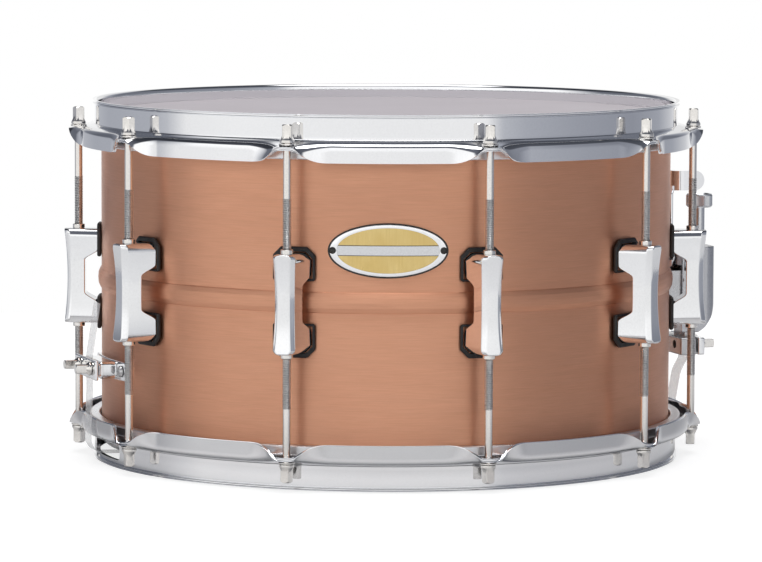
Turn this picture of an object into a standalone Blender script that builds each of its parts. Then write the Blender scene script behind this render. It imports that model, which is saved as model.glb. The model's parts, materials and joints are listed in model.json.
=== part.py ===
"""A 14 by 8 inch snare drum with a beaded copper shell, ten double-ended lugs and a side-throw strainer.

The drum stands on its snare hoop. The origin is on the drum's axis in the plane it rests on, +Z is up,
and lengths are in metres. Places round the drum are given as an angle in degrees from -Y, growing
towards +X. A fitting is modelled at angle 0, where outward is -Y and its right-hand side is +X, and
is then turned about Z to its own angle.
"""

import math

import bmesh
import bpy
from mathutils import Matrix

MM = 0.001
INCH = 25.4 * MM

# Shell
SHELL_RADIUS = 177.0 * MM
SHELL_DEPTH = 8 * INCH
SHELL_WALL = 1.2 * MM
RIM_OVERHANG = 9.1 * MM  # how far each hoop stands beyond its bearing edge
HEIGHT = SHELL_DEPTH + 2 * RIM_OVERHANG
MIDDLE = HEIGHT / 2
EDGE_BEND = 2.5 * MM  # each bearing edge is turned in by this much, at 45 degrees
BEAD_HALF_HEIGHT = 6.2 * MM
BEAD_STAND = 2.1 * MM

# Layout round the shell
LUG_COUNT = 10
LUG_SPACING = 360 / LUG_COUNT
FIRST_LUG_ANGLE = LUG_SPACING / 2
BADGE_ANGLE = 36
STRAINER_ANGLE = 144
BUTT_ANGLE = STRAINER_ANGLE - 180
VENT_ANGLE = BADGE_ANGLE + 180

# Heads: a film over the bearing edge, and the flesh hoop that it is crimped into
FILM = 0.5 * MM
FILM_GAP = 0.3 * MM
FLESH_INNER = 178.2 * MM
FLESH_OUTER = 184.4 * MM
FLESH_TOP = 90.2 * MM  # above the drum's middle, as every height of a mirrored piece is
FLESH_HEIGHT = 6.0 * MM

# Hoops: sheet steel, given by the middle of the sheet
HOOP_SHEET = 2.3 * MM
HOOP_WALL_RADIUS = 180.15 * MM
HOOP_LIP_RADIUS = 183.4 * MM
HOOP_FLANGE_TOP = 94.9 * MM
HOOP_BEND_RADIUS = 184.9 * MM
HOOP_SKIRT_RADIUS = 188.85 * MM
HOOP_SKIRT_LENGTH = 11.5 * MM
EAR_SEAT_RADIUS = 186.9 * MM
EAR_HEIGHT = 91.65 * MM
EAR_UNFOLD = 88  # degrees that the skirt turns out by at an ear
EAR_FLAT = 1.8  # degrees each side of a rod where the ear is flat
EAR_END = 6.2  # degrees each side of a rod where the skirt hangs straight again
EAR_HOLE_RADIUS = 3.1 * MM
GATE_HALF_WIDTH = 27.0 * MM
GATE_LOW = 4.5 * MM
GATE_HIGH = 13.9 * MM

# Lugs
LUG_HALF_HEIGHT = 29.55 * MM
LUG_BACK = 178.6 * MM
LUG_FRONT = 200.3 * MM
LUG_WAIST_FRONT = 198.3 * MM
LUG_NOTCH_RADIUS = 186.7 * MM
LUG_NOTCH_HALF_HEIGHT = 13.1 * MM
LUG_BORE_RADIUS = 3.1 * MM
LUG_BORE_END = 6.8 * MM

# Tension rods, heights above the drum's middle
ROD_CIRCLE = 191.4 * MM
ROD_RADIUS = 2.4 * MM
THREAD_RADIUS = 2.7 * MM
THREAD_START = 61.6 * MM
ROD_END = 11.3 * MM
WASHER_RADIUS = 4.0 * MM
WASHER_LOW = 93.1 * MM
WASHER_HIGH = 94.1 * MM
COLLAR_RADIUS = 4.6 * MM
COLLAR_HIGH = 95.9 * MM
SQUARE_HALF = 2.8 * MM
SQUARE_HIGH = 105.3 * MM

# Badge and vent
BADGE_CENTRE = 141.7 * MM
BADGE_LENGTH = 71.0 * MM
BADGE_HEIGHT = 32.4 * MM
BADGE_THICKNESS = 0.8 * MM
VENT_HOLE_RADIUS = 6.6 * MM
VENT_TUBE_RADIUS = 6.1 * MM
VENT_BORE_RADIUS = 4.8 * MM
VENT_FLANGE_RADIUS = 9.0 * MM

# Strainer
BRACKET_BACK = 177.5 * MM
BRACKET_PLATE_BACK = 181.0 * MM
BRACKET_PLATE_FRONT = 184.0 * MM
CHEEK_INNER = 9.8 * MM
CHEEK_OUTER = 11.7 * MM
CASING_HALF_WIDTH = 14.0 * MM
CASING_BACK = 194.4 * MM
CASING_FRONT = 218.0 * MM
CASING_CORNER = 7.0 * MM
CASING_WALL = 1.8 * MM
CASING_TOP = 125.0 * MM
CASING_LOW = 70.5 * MM
CASING_PIN_RADIUS = 1.3 * MM
CASING_PIN_PLACE = 196.3 * MM
CASING_PIN_HEIGHTS = (94.0 * MM, 104.0 * MM)
SLIDER_HALF_WIDTH = 9.3 * MM
SLIDER_BACK = 198.0 * MM
SLIDER_FRONT = 215.3 * MM
SLIDER_LOW = 112.0 * MM
SLIDER_HIGH = 121.0 * MM
CARRIAGE_NUT_LOW = 99.0 * MM
CARRIAGE_NUT_HIGH = 107.0 * MM
SHAFT_PLACE = 211.0 * MM
SHAFT_RADIUS = 3.5 * MM
SHAFT_LOW = 95.0 * MM
KNOB_RADIUS = 8.4 * MM
KNOB_LOW = 149.3 * MM
KNOB_HIGH = 157.9 * MM
LEVER_PIVOT = 118.0 * MM
LEVER_BACK = 190.6 * MM
LEVER_SHEET = 1.6 * MM
LEVER_HUB_RADIUS = 7.0 * MM
LEVER_ARM_HALF = 2.5 * MM
LEVER_TAB_LOW = 160.6 * MM
LEVER_TAB_HIGH = 173.0 * MM
LEVER_TAB_END = 211.5 * MM
PIVOT_RADIUS = 2.2 * MM

# Snare clamps: the strap is held between a block and a plate by two square-headed bolts
CLAMP_HALF_WIDTH = 24.0 * MM
CLAMP_BOLT_SPREAD = 13.4 * MM
CLAMP_BOLT_RADIUS = 2.4 * MM
CLAMP_BOLT_SHANK = 11.0 * MM
CLAMP_BOLT_COLLAR = 1.3 * MM
CLAMP_BOLT_SQUARE = 9.4 * MM
STRAINER_BLOCK_BACK = 189.5 * MM
STRAINER_BLOCK_FRONT = 200.4 * MM
STRAINER_BLOCK_LOW = 57.0 * MM
STRAINER_BLOCK_HIGH = 68.0 * MM
STRAINER_PLATE = 4.4 * MM
STRAINER_BOLT_HEIGHT = 63.3 * MM
BUTT_BLOCK_FRONT = 190.3 * MM
BUTT_LOW = 53.5 * MM
BUTT_HIGH = 65.0 * MM
BUTT_PLATE = 2.2 * MM
BUTT_BOLT_HEIGHT = 60.0 * MM
BUTT_FOOT_ANGLE = 11.0
BUTT_SCREW_ANGLE = 8.7

# Snares
STRAND_COUNT = 20
STRAND_RADIUS = 1.0 * MM
STRAND_PITCH = 2.15 * MM
STRAND_HALF_LENGTH = 154.0 * MM
STRAND_HEIGHT = 6.9 * MM
END_PLATE_LENGTH = 12.0 * MM
STRAP_HALF_WIDTH = 7.25 * MM
STRAP = 0.5 * MM

CLEAR = 0.3 * MM  # between pieces that touch
TURN_STEPS = 48

# How an outline lies: its first and second directions, and the way it is thickened
FROM_ABOVE = Matrix.Identity(4)  # x, y, up
FROM_FRONT = Matrix(((1, 0, 0, 0), (0, 0, -1, 0), (0, 1, 0, 0), (0, 0, 0, 1)))  # x, height, outward
FROM_SIDE = Matrix(((0, 0, -1, 0), (-1, 0, 0, 0), (0, 1, 0, 0), (0, 0, 0, 1)))  # radius, height, sideways


def make_collection(name):
    collection = bpy.data.collections.new(name)
    bpy.context.scene.collection.children.link(collection)
    return collection


def make_material(name, color, roughness, metallic):
    material = bpy.data.materials.new(name)
    material.use_nodes = True
    shader = material.node_tree.nodes["Principled BSDF"]
    shader.inputs["Base Color"].default_value = (*color, 1.0)
    shader.inputs["Roughness"].default_value = roughness
    shader.inputs["Metallic"].default_value = metallic
    return material


def add_object(name, mesh, collection):
    obj = bpy.data.objects.new(name, mesh)
    collection.objects.link(obj)
    return obj


def add_part(name, mesh, material, angle=0.0):
    """A finished piece in the drum's collection, turned to its angle round the drum."""
    obj = add_object(name, mesh, DRUM)
    if not mesh.materials:
        mesh.materials.append(material)
    mesh.shade_smooth()
    mesh.set_sharp_from_angle(angle=math.radians(35))
    obj.rotation_euler.z = math.radians(angle)
    return obj


def add_cutter(name, mesh):
    cutter = add_object(name, mesh, CUTTERS)
    cutter.hide_render = True
    cutter.display_type = "WIRE"
    return cutter


def combined(mesh, others, operation, solver="EXACT"):
    """The mesh after a Boolean with each of the other meshes in turn."""
    obj = add_object(mesh.name, mesh, CUTTERS)
    tools = [add_cutter(other.name, other) for other in others]
    for tool in tools:
        modifier = obj.modifiers.new(tool.name, "BOOLEAN")
        modifier.operation = operation
        modifier.solver = solver
        modifier.object = tool
    return evaluated(obj, tools)


def cut(mesh, *others):
    return combined(mesh, others, "DIFFERENCE")


def joined(mesh, *others, solver="EXACT"):
    return combined(mesh, others, "UNION", solver)


def common(mesh, other):
    return combined(mesh, [other], "INTERSECT")


def evaluated(obj, helpers=()):
    """The object's mesh with its modifiers applied; the object and its helpers are removed."""
    bpy.context.view_layer.update()
    graph = bpy.context.evaluated_depsgraph_get()
    mesh = bpy.data.meshes.new_from_object(obj.evaluated_get(graph))
    for used in (obj, *helpers):
        bpy.data.objects.remove(used, do_unlink=True)
    return mesh


def mesh_from(build):
    """A mesh from a function that fills a bmesh."""
    work = bmesh.new()
    build(work)
    mesh = bpy.data.meshes.new("shape")
    work.to_mesh(mesh)
    work.free()
    return mesh


def box(low, high):
    """A box between two corners given as (x, radius outward, height)."""
    size = [b - a for a, b in zip(low, high)]
    centre = [(a + b) / 2 for a, b in zip(low, high)]
    place = Matrix.Translation((centre[0], -centre[1], centre[2])) @ Matrix.Diagonal((*size, 1))
    return mesh_from(lambda work: bmesh.ops.create_cube(work, size=1, matrix=place))


def cylinder(radius, low, high, sides, place=FROM_ABOVE):
    """A cylinder along its own Z from low to high, set in place by a matrix."""

    def build(work):
        middle = Matrix.Translation((0, 0, (low + high) / 2))
        bmesh.ops.create_cone(work, cap_ends=True, segments=sides, radius1=radius, radius2=radius,
                              depth=high - low, matrix=place @ middle)

    return mesh_from(build)


def turned(profile, steps=TURN_STEPS, ring=False):
    """A profile of (radius, height) points turned about Z. A ring's profile is a closed loop."""
    count = len(profile)
    edges = [(i, i + 1) for i in range(count - 1)]
    if ring:
        edges.append((count - 1, 0))
    mesh = bpy.data.meshes.new("profile")
    mesh.from_pydata([(radius, 0.0, height) for radius, height in profile], edges, [])
    obj = add_object("profile", mesh, CUTTERS)
    screw = obj.modifiers.new("turn", "SCREW")
    screw.steps = steps
    screw.render_steps = steps
    screw.use_merge_vertices = True
    screw.merge_threshold = 0.00001
    return evaluated(obj)


def plate(outline, low, high, facing):
    """A flat outline thickened from low to high along the direction that it faces."""
    curve = bpy.data.curves.new("outline", "CURVE")
    curve.dimensions = "2D"
    curve.fill_mode = "BOTH"
    curve.extrude = (high - low) / 2
    spline = curve.splines.new("POLY")
    spline.points.add(len(outline) - 1)
    spline.use_cyclic_u = True
    for point, (u, v) in zip(spline.points, outline):
        point.co = (u, v, 0.0, 1.0)
    mesh = evaluated(add_object("outline", curve, CUTTERS))
    work = bmesh.new()
    work.from_mesh(mesh)
    bmesh.ops.remove_doubles(work, verts=work.verts, dist=0.000001)
    bmesh.ops.recalc_face_normals(work, faces=work.faces)
    work.to_mesh(mesh)
    work.free()
    mesh.transform(facing @ Matrix.Translation((0, 0, (low + high) / 2)))
    return mesh


def outward(x, height, radius=0.0, angle=0.0):
    """The place whose own +Z points outward, at a sideways offset and a height."""
    turn = Matrix.Rotation(math.radians(angle), 4, "Z")
    return turn @ Matrix.Translation((x, -radius, height)) @ Matrix.Rotation(math.pi / 2, 4, "X")


def arc(centre_u, centre_v, radius, start, end, steps):
    """Points along an arc, its angles in degrees."""
    angles = [math.radians(start + (end - start) * i / steps) for i in range(steps + 1)]
    return [(centre_u + radius * math.cos(a), centre_v + radius * math.sin(a)) for a in angles]


def sector(inner, outer, half_angle, low, high, steps):
    """A plate bent round the drum at angle 0."""
    start, end = -90 - half_angle, -90 + half_angle
    outline = arc(0, 0, outer, start, end, steps) + arc(0, 0, inner, end, start, steps)
    return plate(outline, low, high, FROM_ABOVE)


def both_ends(mesh):
    """The mesh of a piece at the batter end, and its twin turned over to the snare end."""
    twin = mesh.copy()
    twin.transform(Matrix.Translation((0, 0, MIDDLE)) @ Matrix.Rotation(math.pi, 4, "Y"))
    mesh.transform(Matrix.Translation((0, 0, MIDDLE)))
    return mesh, twin


def make_shell():
    top = RIM_OVERHANG + SHELL_DEPTH
    low = RIM_OVERHANG
    side = []
    for radius, lip in ((SHELL_RADIUS, 0.0), (SHELL_RADIUS - SHELL_WALL, SHELL_WALL * 0.7)):
        crest = radius + BEAD_STAND
        side.append([
            (radius - EDGE_BEND, top - lip),
            (radius, top - lip - EDGE_BEND),
            (radius, MIDDLE + BEAD_HALF_HEIGHT),
            (crest - 0.3 * BEAD_STAND, MIDDLE + BEAD_HALF_HEIGHT / 2),
            (crest, MIDDLE),
            (crest - 0.3 * BEAD_STAND, MIDDLE - BEAD_HALF_HEIGHT / 2),
            (radius, MIDDLE - BEAD_HALF_HEIGHT),
            (radius, low + lip + EDGE_BEND),
            (radius - EDGE_BEND, low + lip),
        ])
    outside, inside = side
    mesh = turned(outside + inside[::-1], ring=True)
    vent = cylinder(VENT_HOLE_RADIUS, SHELL_RADIUS - 10 * MM, SHELL_RADIUS + 10 * MM, 16,
                    outward(0, BADGE_CENTRE, angle=VENT_ANGLE))
    add_part("shell", cut(mesh, vent), COPPER)


def make_heads():
    edge = SHELL_DEPTH / 2
    low = FLESH_TOP - FLESH_HEIGHT
    inner = SHELL_RADIUS + FILM_GAP
    outer = inner + FILM
    rise = edge + FILM_GAP
    film = turned([
        (0.0, rise + FILM),
        (SHELL_RADIUS - EDGE_BEND + 0.4 * MM, rise + FILM),
        (outer, edge - EDGE_BEND + 0.6 * MM),
        (outer, low + 4.5 * MM),
        (inner, low + 4.5 * MM),
        (inner, edge - EDGE_BEND + 0.2 * MM),
        (SHELL_RADIUS - EDGE_BEND + 0.1 * MM, rise),
        (0.0, rise),
    ])
    flesh = turned([(FLESH_OUTER, FLESH_TOP), (FLESH_OUTER, low), (FLESH_INNER, low),
                    (FLESH_INNER, FLESH_TOP)], ring=True)
    for mesh, end, material in zip(both_ends(film), ("batter", "snare"), (COATED_FILM, CLEAR_FILM)):
        add_part(f"{end}_head", mesh, material)
    for mesh, end in zip(both_ends(flesh), ("batter", "snare")):
        add_part(f"{end}_flesh_hoop", mesh, ALUMINIUM)


def ear_share(offset):
    """1 on the flat of an ear, easing to 0 where the skirt hangs straight."""
    t = (EAR_END - abs(offset)) / (EAR_END - EAR_FLAT)
    t = min(max(t, 0.0), 1.0)
    return t * t * (3 - 2 * t)


def hoop_profile(share):
    """The middle of the hoop's sheet, from the lip to the skirt's edge, as (radius, height)."""
    fold = math.radians(EAR_UNFOLD * share)
    corner_radius = HOOP_SKIRT_RADIUS + (EAR_SEAT_RADIUS - HOOP_SKIRT_RADIUS) * share
    corner_height = HOOP_FLANGE_TOP - 1.8 * MM
    corner_height += (EAR_HEIGHT - corner_height) * share
    lip_height = HEIGHT / 2 - HOOP_SHEET / 2
    return [
        (HOOP_LIP_RADIUS, lip_height),
        (HOOP_WALL_RADIUS, lip_height),
        (HOOP_WALL_RADIUS, HOOP_FLANGE_TOP),
        (HOOP_BEND_RADIUS, HOOP_FLANGE_TOP - (1.0 + 0.3 * share) * MM),
        (corner_radius, corner_height),
        (corner_radius + HOOP_SKIRT_LENGTH * math.sin(fold),
         corner_height - HOOP_SKIRT_LENGTH * math.cos(fold)),
    ]


def make_hoops():
    between = (LUG_SPACING - 2 * EAR_END) / 3
    offsets = (-4, -EAR_FLAT, EAR_FLAT, 4, EAR_END, EAR_END + between, EAR_END + 2 * between,
               LUG_SPACING - EAR_END)
    rows = []
    for lug in range(LUG_COUNT):
        for offset in offsets:
            angle = math.radians(FIRST_LUG_ANGLE + lug * LUG_SPACING + offset)
            rows.append([(r * math.sin(angle), -r * math.cos(angle), h)
                         for r, h in hoop_profile(ear_share(min(offset, LUG_SPACING - offset)))])
    count = len(rows[0])
    faces = []
    for i in range(len(rows)):
        j = (i + 1) % len(rows)
        faces += [(i * count + k, i * count + k + 1, j * count + k + 1, j * count + k)
                  for k in range(count - 1)]
    sheet = bpy.data.meshes.new("sheet")
    sheet.from_pydata([point for row in rows for point in row], [], faces)
    obj = add_object("sheet", sheet, CUTTERS)
    solidify = obj.modifiers.new("sheet", "SOLIDIFY")
    solidify.thickness = HOOP_SHEET
    solidify.offset = 0.0
    solidify.use_even_offset = True
    solid = evaluated(obj)
    for vertex in solid.vertices:  # the lip's end is flat, as the drum stands on it
        if vertex.co.z > HEIGHT / 2 - 0.3 * MM:
            vertex.co.z = HEIGHT / 2
    holes = [
        cylinder(EAR_HOLE_RADIUS, EAR_HEIGHT - 4 * MM, EAR_HEIGHT + 4 * MM, 8,
                 Matrix.Rotation(math.radians(FIRST_LUG_ANGLE + lug * LUG_SPACING), 4, "Z")
                 @ Matrix.Translation((0, -ROD_CIRCLE, 0)))
        for lug in range(LUG_COUNT)
    ]
    batter, snare = both_ends(cut(solid, *holes))
    gates = []
    for angle in (STRAINER_ANGLE, BUTT_ANGLE):
        gate = box((-GATE_HALF_WIDTH, HOOP_WALL_RADIUS - 8 * MM, GATE_LOW),
                   (GATE_HALF_WIDTH, HOOP_WALL_RADIUS + 4 * MM, GATE_HIGH))
        gate.transform(Matrix.Rotation(math.radians(angle), 4, "Z"))
        gates.append(gate)
    add_part("batter_hoop", batter, CHROME)
    add_part("snare_hoop", cut(snare, *gates), CHROME)


def lug_section(height):
    """The lug's outline seen from above: a waisted front that widens towards the shell."""
    flare = (height / LUG_HALF_HEIGHT) ** 2
    front = LUG_WAIST_FRONT + (LUG_FRONT - LUG_WAIST_FRONT) * flare
    half = [
        ((10.9 + 0.6 * flare) * MM, LUG_BACK),
        ((6.0 + 1.2 * flare) * MM, front - 2.6 * MM),
        ((3.6 + 1.4 * flare) * MM, front),
    ]
    return half + [(-x, radius) for x, radius in half[::-1]]


def make_lugs():
    heights = [LUG_HALF_HEIGHT * step / 2 for step in (-2, -1, 0, 1, 2)]
    sections = [[(x, -radius, height) for x, radius in lug_section(height)] for height in heights]
    count = len(sections[0])
    faces = [tuple(range(count))[::-1], tuple(range((len(sections) - 1) * count, len(sections) * count))]
    for i in range(len(sections) - 1):
        faces += [(i * count + k, i * count + (k + 1) % count,
                   (i + 1) * count + (k + 1) % count, (i + 1) * count + k) for k in range(count)]
    body = bpy.data.meshes.new("lug")
    body.from_pydata([point for section in sections for point in section], [], faces)
    work = bmesh.new()
    work.from_mesh(body)
    bmesh.ops.recalc_face_normals(work, faces=work.faces)
    work.to_mesh(body)
    work.free()
    notch = box((-20 * MM, LUG_BACK - 5 * MM, -LUG_NOTCH_HALF_HEIGHT),
                (20 * MM, LUG_NOTCH_RADIUS, LUG_NOTCH_HALF_HEIGHT))
    on_rod = Matrix.Translation((0, -ROD_CIRCLE, 0))
    bores = [cylinder(LUG_BORE_RADIUS, LUG_BORE_END, LUG_HALF_HEIGHT + 2 * MM, 12, on_rod),
             cylinder(LUG_BORE_RADIUS, -LUG_HALF_HEIGHT - 2 * MM, -LUG_BORE_END, 12, on_rod)]
    shared = cut(body, notch, *bores)
    for number in range(LUG_COUNT):
        lug = add_part(f"lug_{number + 1:02d}", shared, CHROME, FIRST_LUG_ANGLE + number * LUG_SPACING)
        lug.location.z = MIDDLE


def make_rods():
    """Each rod with its washer; its origin is on its own axis, at the drum's middle height."""
    profile = [
        (0.0, COLLAR_HIGH), (COLLAR_RADIUS, COLLAR_HIGH), (COLLAR_RADIUS, WASHER_HIGH),
        (WASHER_RADIUS, WASHER_HIGH), (WASHER_RADIUS, WASHER_LOW), (ROD_RADIUS, WASHER_LOW),
        (ROD_RADIUS, THREAD_START), (THREAD_RADIUS, THREAD_START), (THREAD_RADIUS, ROD_END),
        (0.0, ROD_END),
    ]
    square = box((-SQUARE_HALF, -SQUARE_HALF, COLLAR_HIGH - 1 * MM),
                 (SQUARE_HALF, SQUARE_HALF, SQUARE_HIGH))
    shared = joined(turned(profile, steps=8), square)
    for end, turn_over in (("batter", 0.0), ("snare", math.pi)):
        for number in range(LUG_COUNT):
            angle = math.radians(FIRST_LUG_ANGLE + number * LUG_SPACING)
            rod = add_part(f"{end}_rod_{number + 1:02d}", shared, NICKEL)
            rod.location = (ROD_CIRCLE * math.sin(angle), -ROD_CIRCLE * math.cos(angle), MIDDLE)
            rod.rotation_euler = (turn_over, 0.0, angle)


def make_badge():
    inner = SHELL_RADIUS + CLEAR
    bent = sector(inner, inner + BADGE_THICKNESS, 13, BADGE_CENTRE - BADGE_HEIGHT,
                  BADGE_CENTRE + BADGE_HEIGHT, 13)
    outline = [(BADGE_LENGTH / 2 * u, BADGE_CENTRE + BADGE_HEIGHT / 2 * v)
               for u, v in arc(0, 0, 1, 0, 360 - 360 / 32, 31)]
    oval = plate(outline, SHELL_RADIUS - 20 * MM, SHELL_RADIUS + 10 * MM, FROM_FRONT)
    add_part("badge", common(bent, oval), BRASS, BADGE_ANGLE)


def make_vent():
    """The grommet that lines the air vent, its flanges inside and outside the shell."""
    inside = SHELL_RADIUS - SHELL_WALL - CLEAR - 0.5 * MM
    profile = [
        (VENT_FLANGE_RADIUS, SHELL_RADIUS + 1.6 * MM),
        (VENT_FLANGE_RADIUS, SHELL_RADIUS + CLEAR),
        (VENT_TUBE_RADIUS, SHELL_RADIUS + CLEAR),
        (VENT_TUBE_RADIUS, inside),
        (VENT_FLANGE_RADIUS - 1.5 * MM, inside),
        (VENT_FLANGE_RADIUS - 1.5 * MM, inside - 0.8 * MM),
        (VENT_BORE_RADIUS, inside - 0.8 * MM),
        (VENT_BORE_RADIUS, SHELL_RADIUS + 1.6 * MM),
    ]
    mesh = turned(profile, steps=16, ring=True)
    mesh.transform(outward(0, BADGE_CENTRE))
    add_part("vent_grommet", mesh, CHROME, VENT_ANGLE)


def make_strainer_bracket():
    """A channel on the shell: it bridges the bead, and its cheeks carry the casing."""
    low, high, step = 88 * MM, 124 * MM, 110 * MM
    outline = [
        (BRACKET_BACK, low), (203 * MM, low), (203 * MM, step), (BRACKET_PLATE_FRONT, step),
        (BRACKET_PLATE_FRONT, high), (BRACKET_BACK, high), (BRACKET_BACK, 119.3 * MM),
        (BRACKET_PLATE_BACK, 119.3 * MM), (BRACKET_PLATE_BACK, 100 * MM), (BRACKET_BACK, 100 * MM),
    ]
    body = plate(outline, -CHEEK_OUTER, CHEEK_OUTER, FROM_SIDE)
    channel = box((-CHEEK_INNER, BRACKET_PLATE_FRONT, low - 5 * MM),
                  (CHEEK_INNER, 210 * MM, step + 5 * MM))
    pivot = cylinder(PIVOT_RADIUS + CLEAR, 170 * MM, 190 * MM, 12, outward(0, LEVER_PIVOT))
    add_part("strainer_bracket", cut(body, channel, pivot, *casing_pins(CLEAR)), STEEL, STRAINER_ANGLE)


def casing_pins(extra=0.0):
    """The two pins that hold the casing to its bracket, or their holes."""
    half = CASING_HALF_WIDTH + (5 * MM if extra else 0.4 * MM)
    return [
        cylinder(CASING_PIN_RADIUS + extra, -half, half, 10,
                 Matrix.Translation((0, -CASING_PIN_PLACE, height)) @ Matrix.Rotation(math.pi / 2, 4, "Y"))
        for height in CASING_PIN_HEIGHTS
    ]


def casing_body(inset):
    """The casing's outer form, or its hollow when inset by the wall."""
    half = CASING_HALF_WIDTH - inset
    corner = CASING_CORNER - inset
    bend = CASING_FRONT - CASING_CORNER
    back = CASING_BACK - (5 * MM if inset else 0.0)
    front = arc(half - corner, -bend, corner, 0, -90, 4)
    plan = [(half, -back)] + front + [(-x, y) for x, y in front[::-1]] + [(-half, -back)]
    low = CASING_LOW - (5 * MM if inset else 0.0)
    prism = plate(plan, low, CASING_TOP - inset, FROM_ABOVE)
    side = [
        (back, CASING_TOP + 1 * MM), (CASING_FRONT + 1 * MM, CASING_TOP + 1 * MM),
        (CASING_FRONT + 1 * MM, 94 * MM), (CASING_FRONT - inset, 94 * MM),
        (CASING_FRONT - 0.7 * MM - inset, 88 * MM), (CASING_FRONT - 3 * MM - inset, 80.5 * MM),
        (CASING_FRONT - 8 * MM - inset, 73.5 * MM), (204 * MM - inset, low - 1 * MM), (back, low - 1 * MM),
    ]
    return common(prism, plate(side, -20 * MM, 20 * MM, FROM_SIDE))


def shaft_hole(low, high):
    return cylinder(SHAFT_RADIUS + CLEAR, low, high, 16, Matrix.Translation((0, -SHAFT_PLACE, 0)))


def make_strainer_casing():
    mesh = cut(casing_body(0.0), casing_body(CASING_WALL), shaft_hole(CASING_TOP - 10 * MM, CASING_TOP + 5 * MM),
               *casing_pins(CLEAR))
    add_part("strainer_casing", mesh, CHROME, STRAINER_ANGLE)
    for name, pin in zip(("casing_pin_lower", "casing_pin_upper"), casing_pins()):
        add_part(name, pin, STEEL, STRAINER_ANGLE)


def make_lever():
    """A flat arm that swings sideways about a radial pin, with a finger tab bent outward at its top."""
    start = math.degrees(math.acos(LEVER_ARM_HALF / LEVER_HUB_RADIUS))
    hub = arc(0, LEVER_PIVOT, LEVER_HUB_RADIUS, start, start - 360 + 2 * (90 - start), 14)
    half, chamfer = 7 * MM, 2 * MM
    arm = hub + [
        (-LEVER_ARM_HALF, LEVER_TAB_LOW), (-half, LEVER_TAB_LOW), (-half, LEVER_TAB_HIGH),
        (half - chamfer, LEVER_TAB_HIGH), (half, LEVER_TAB_HIGH - chamfer),
        (half, LEVER_TAB_LOW + chamfer), (half - chamfer, LEVER_TAB_LOW),
        (LEVER_ARM_HALF, LEVER_TAB_LOW),
    ]
    radius = (LEVER_TAB_HIGH - LEVER_TAB_LOW) / 2
    middle = LEVER_TAB_LOW + radius
    end = arc(LEVER_TAB_END - radius, middle, radius, -90, 90, 8)
    tab_outline = [(LEVER_BACK, LEVER_TAB_LOW)] + end + [(LEVER_BACK, LEVER_TAB_HIGH)]
    flat = plate(arm, LEVER_BACK, LEVER_BACK + LEVER_SHEET, FROM_FRONT)
    tab = plate(tab_outline, half - LEVER_SHEET, half, FROM_SIDE)
    hole = cylinder(PIVOT_RADIUS + CLEAR, LEVER_BACK - 5 * MM, LEVER_BACK + 5 * MM, 12,
                    outward(0, LEVER_PIVOT))
    # The tab and the arm share four planes, which the exact solver can't join.
    bent = joined(flat, tab, solver="MANIFOLD")
    add_part("strainer_lever", cut(bent, hole), CHROME, STRAINER_ANGLE)
    head_low = LEVER_BACK + LEVER_SHEET + CLEAR
    pin = turned([(0.0, head_low + 1 * MM), (4 * MM, head_low + 1 * MM), (4 * MM, head_low),
                  (PIVOT_RADIUS, head_low), (PIVOT_RADIUS, BRACKET_PLATE_BACK),
                  (0.0, BRACKET_PLATE_BACK)], steps=12)
    pin.transform(outward(0, LEVER_PIVOT))
    add_part("lever_pivot_pin", pin, STEEL, STRAINER_ANGLE)


def bolt_holes(height, low, high):
    return [cylinder(CLAMP_BOLT_RADIUS + CLEAR, low, high, 12, outward(x, height))
            for x in (-CLAMP_BOLT_SPREAD, CLAMP_BOLT_SPREAD)]


def guided_block(low, high):
    """A block that fills the casing's inside, with its two front corners chamfered."""
    half, chamfer = SLIDER_HALF_WIDTH, 1.5 * MM
    plan = [(half, -SLIDER_BACK), (half, -SLIDER_FRONT + chamfer), (half - chamfer, -SLIDER_FRONT),
            (chamfer - half, -SLIDER_FRONT), (-half, -SLIDER_FRONT + chamfer), (-half, -SLIDER_BACK)]
    return plate(plan, low, high, FROM_ABOVE)


def make_slider():
    mesh = cut(guided_block(SLIDER_LOW, SLIDER_HIGH), shaft_hole(SLIDER_LOW - 5 * MM, SLIDER_HIGH + 5 * MM))
    add_part("strainer_slider", mesh, STEEL, STRAINER_ANGLE)


def make_carriage():
    """The block that the strap is clamped to, hung from the adjuster screw inside the casing."""
    nut = guided_block(CARRIAGE_NUT_LOW, CARRIAGE_NUT_HIGH)
    leg = box((-SLIDER_HALF_WIDTH, SLIDER_BACK, STRAINER_BLOCK_LOW + 2 * MM),
              (SLIDER_HALF_WIDTH, STRAINER_BLOCK_FRONT, CARRIAGE_NUT_HIGH - 1 * MM))
    block = box((-CLAMP_HALF_WIDTH, STRAINER_BLOCK_BACK, STRAINER_BLOCK_LOW),
                (CLAMP_HALF_WIDTH, STRAINER_BLOCK_FRONT, STRAINER_BLOCK_HIGH))
    mesh = cut(joined(block, leg, nut), shaft_hole(CARRIAGE_NUT_LOW - 3 * MM, CARRIAGE_NUT_HIGH + 5 * MM),
               *bolt_holes(STRAINER_BOLT_HEIGHT, 180 * MM, 210 * MM))
    add_part("clamp_carriage", mesh, STEEL, STRAINER_ANGLE)


def make_adjuster():
    screw = turned([(0.0, KNOB_HIGH), (KNOB_RADIUS, KNOB_HIGH), (KNOB_RADIUS, KNOB_LOW),
                    (SHAFT_RADIUS, KNOB_LOW), (SHAFT_RADIUS, SHAFT_LOW), (0.0, SHAFT_LOW)], steps=16)
    angle = math.radians(STRAINER_ANGLE)
    knob = add_part("adjuster_screw", screw, CHROME)
    knob.location = (SHAFT_PLACE * math.sin(angle), -SHAFT_PLACE * math.cos(angle), 0.0)


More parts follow.
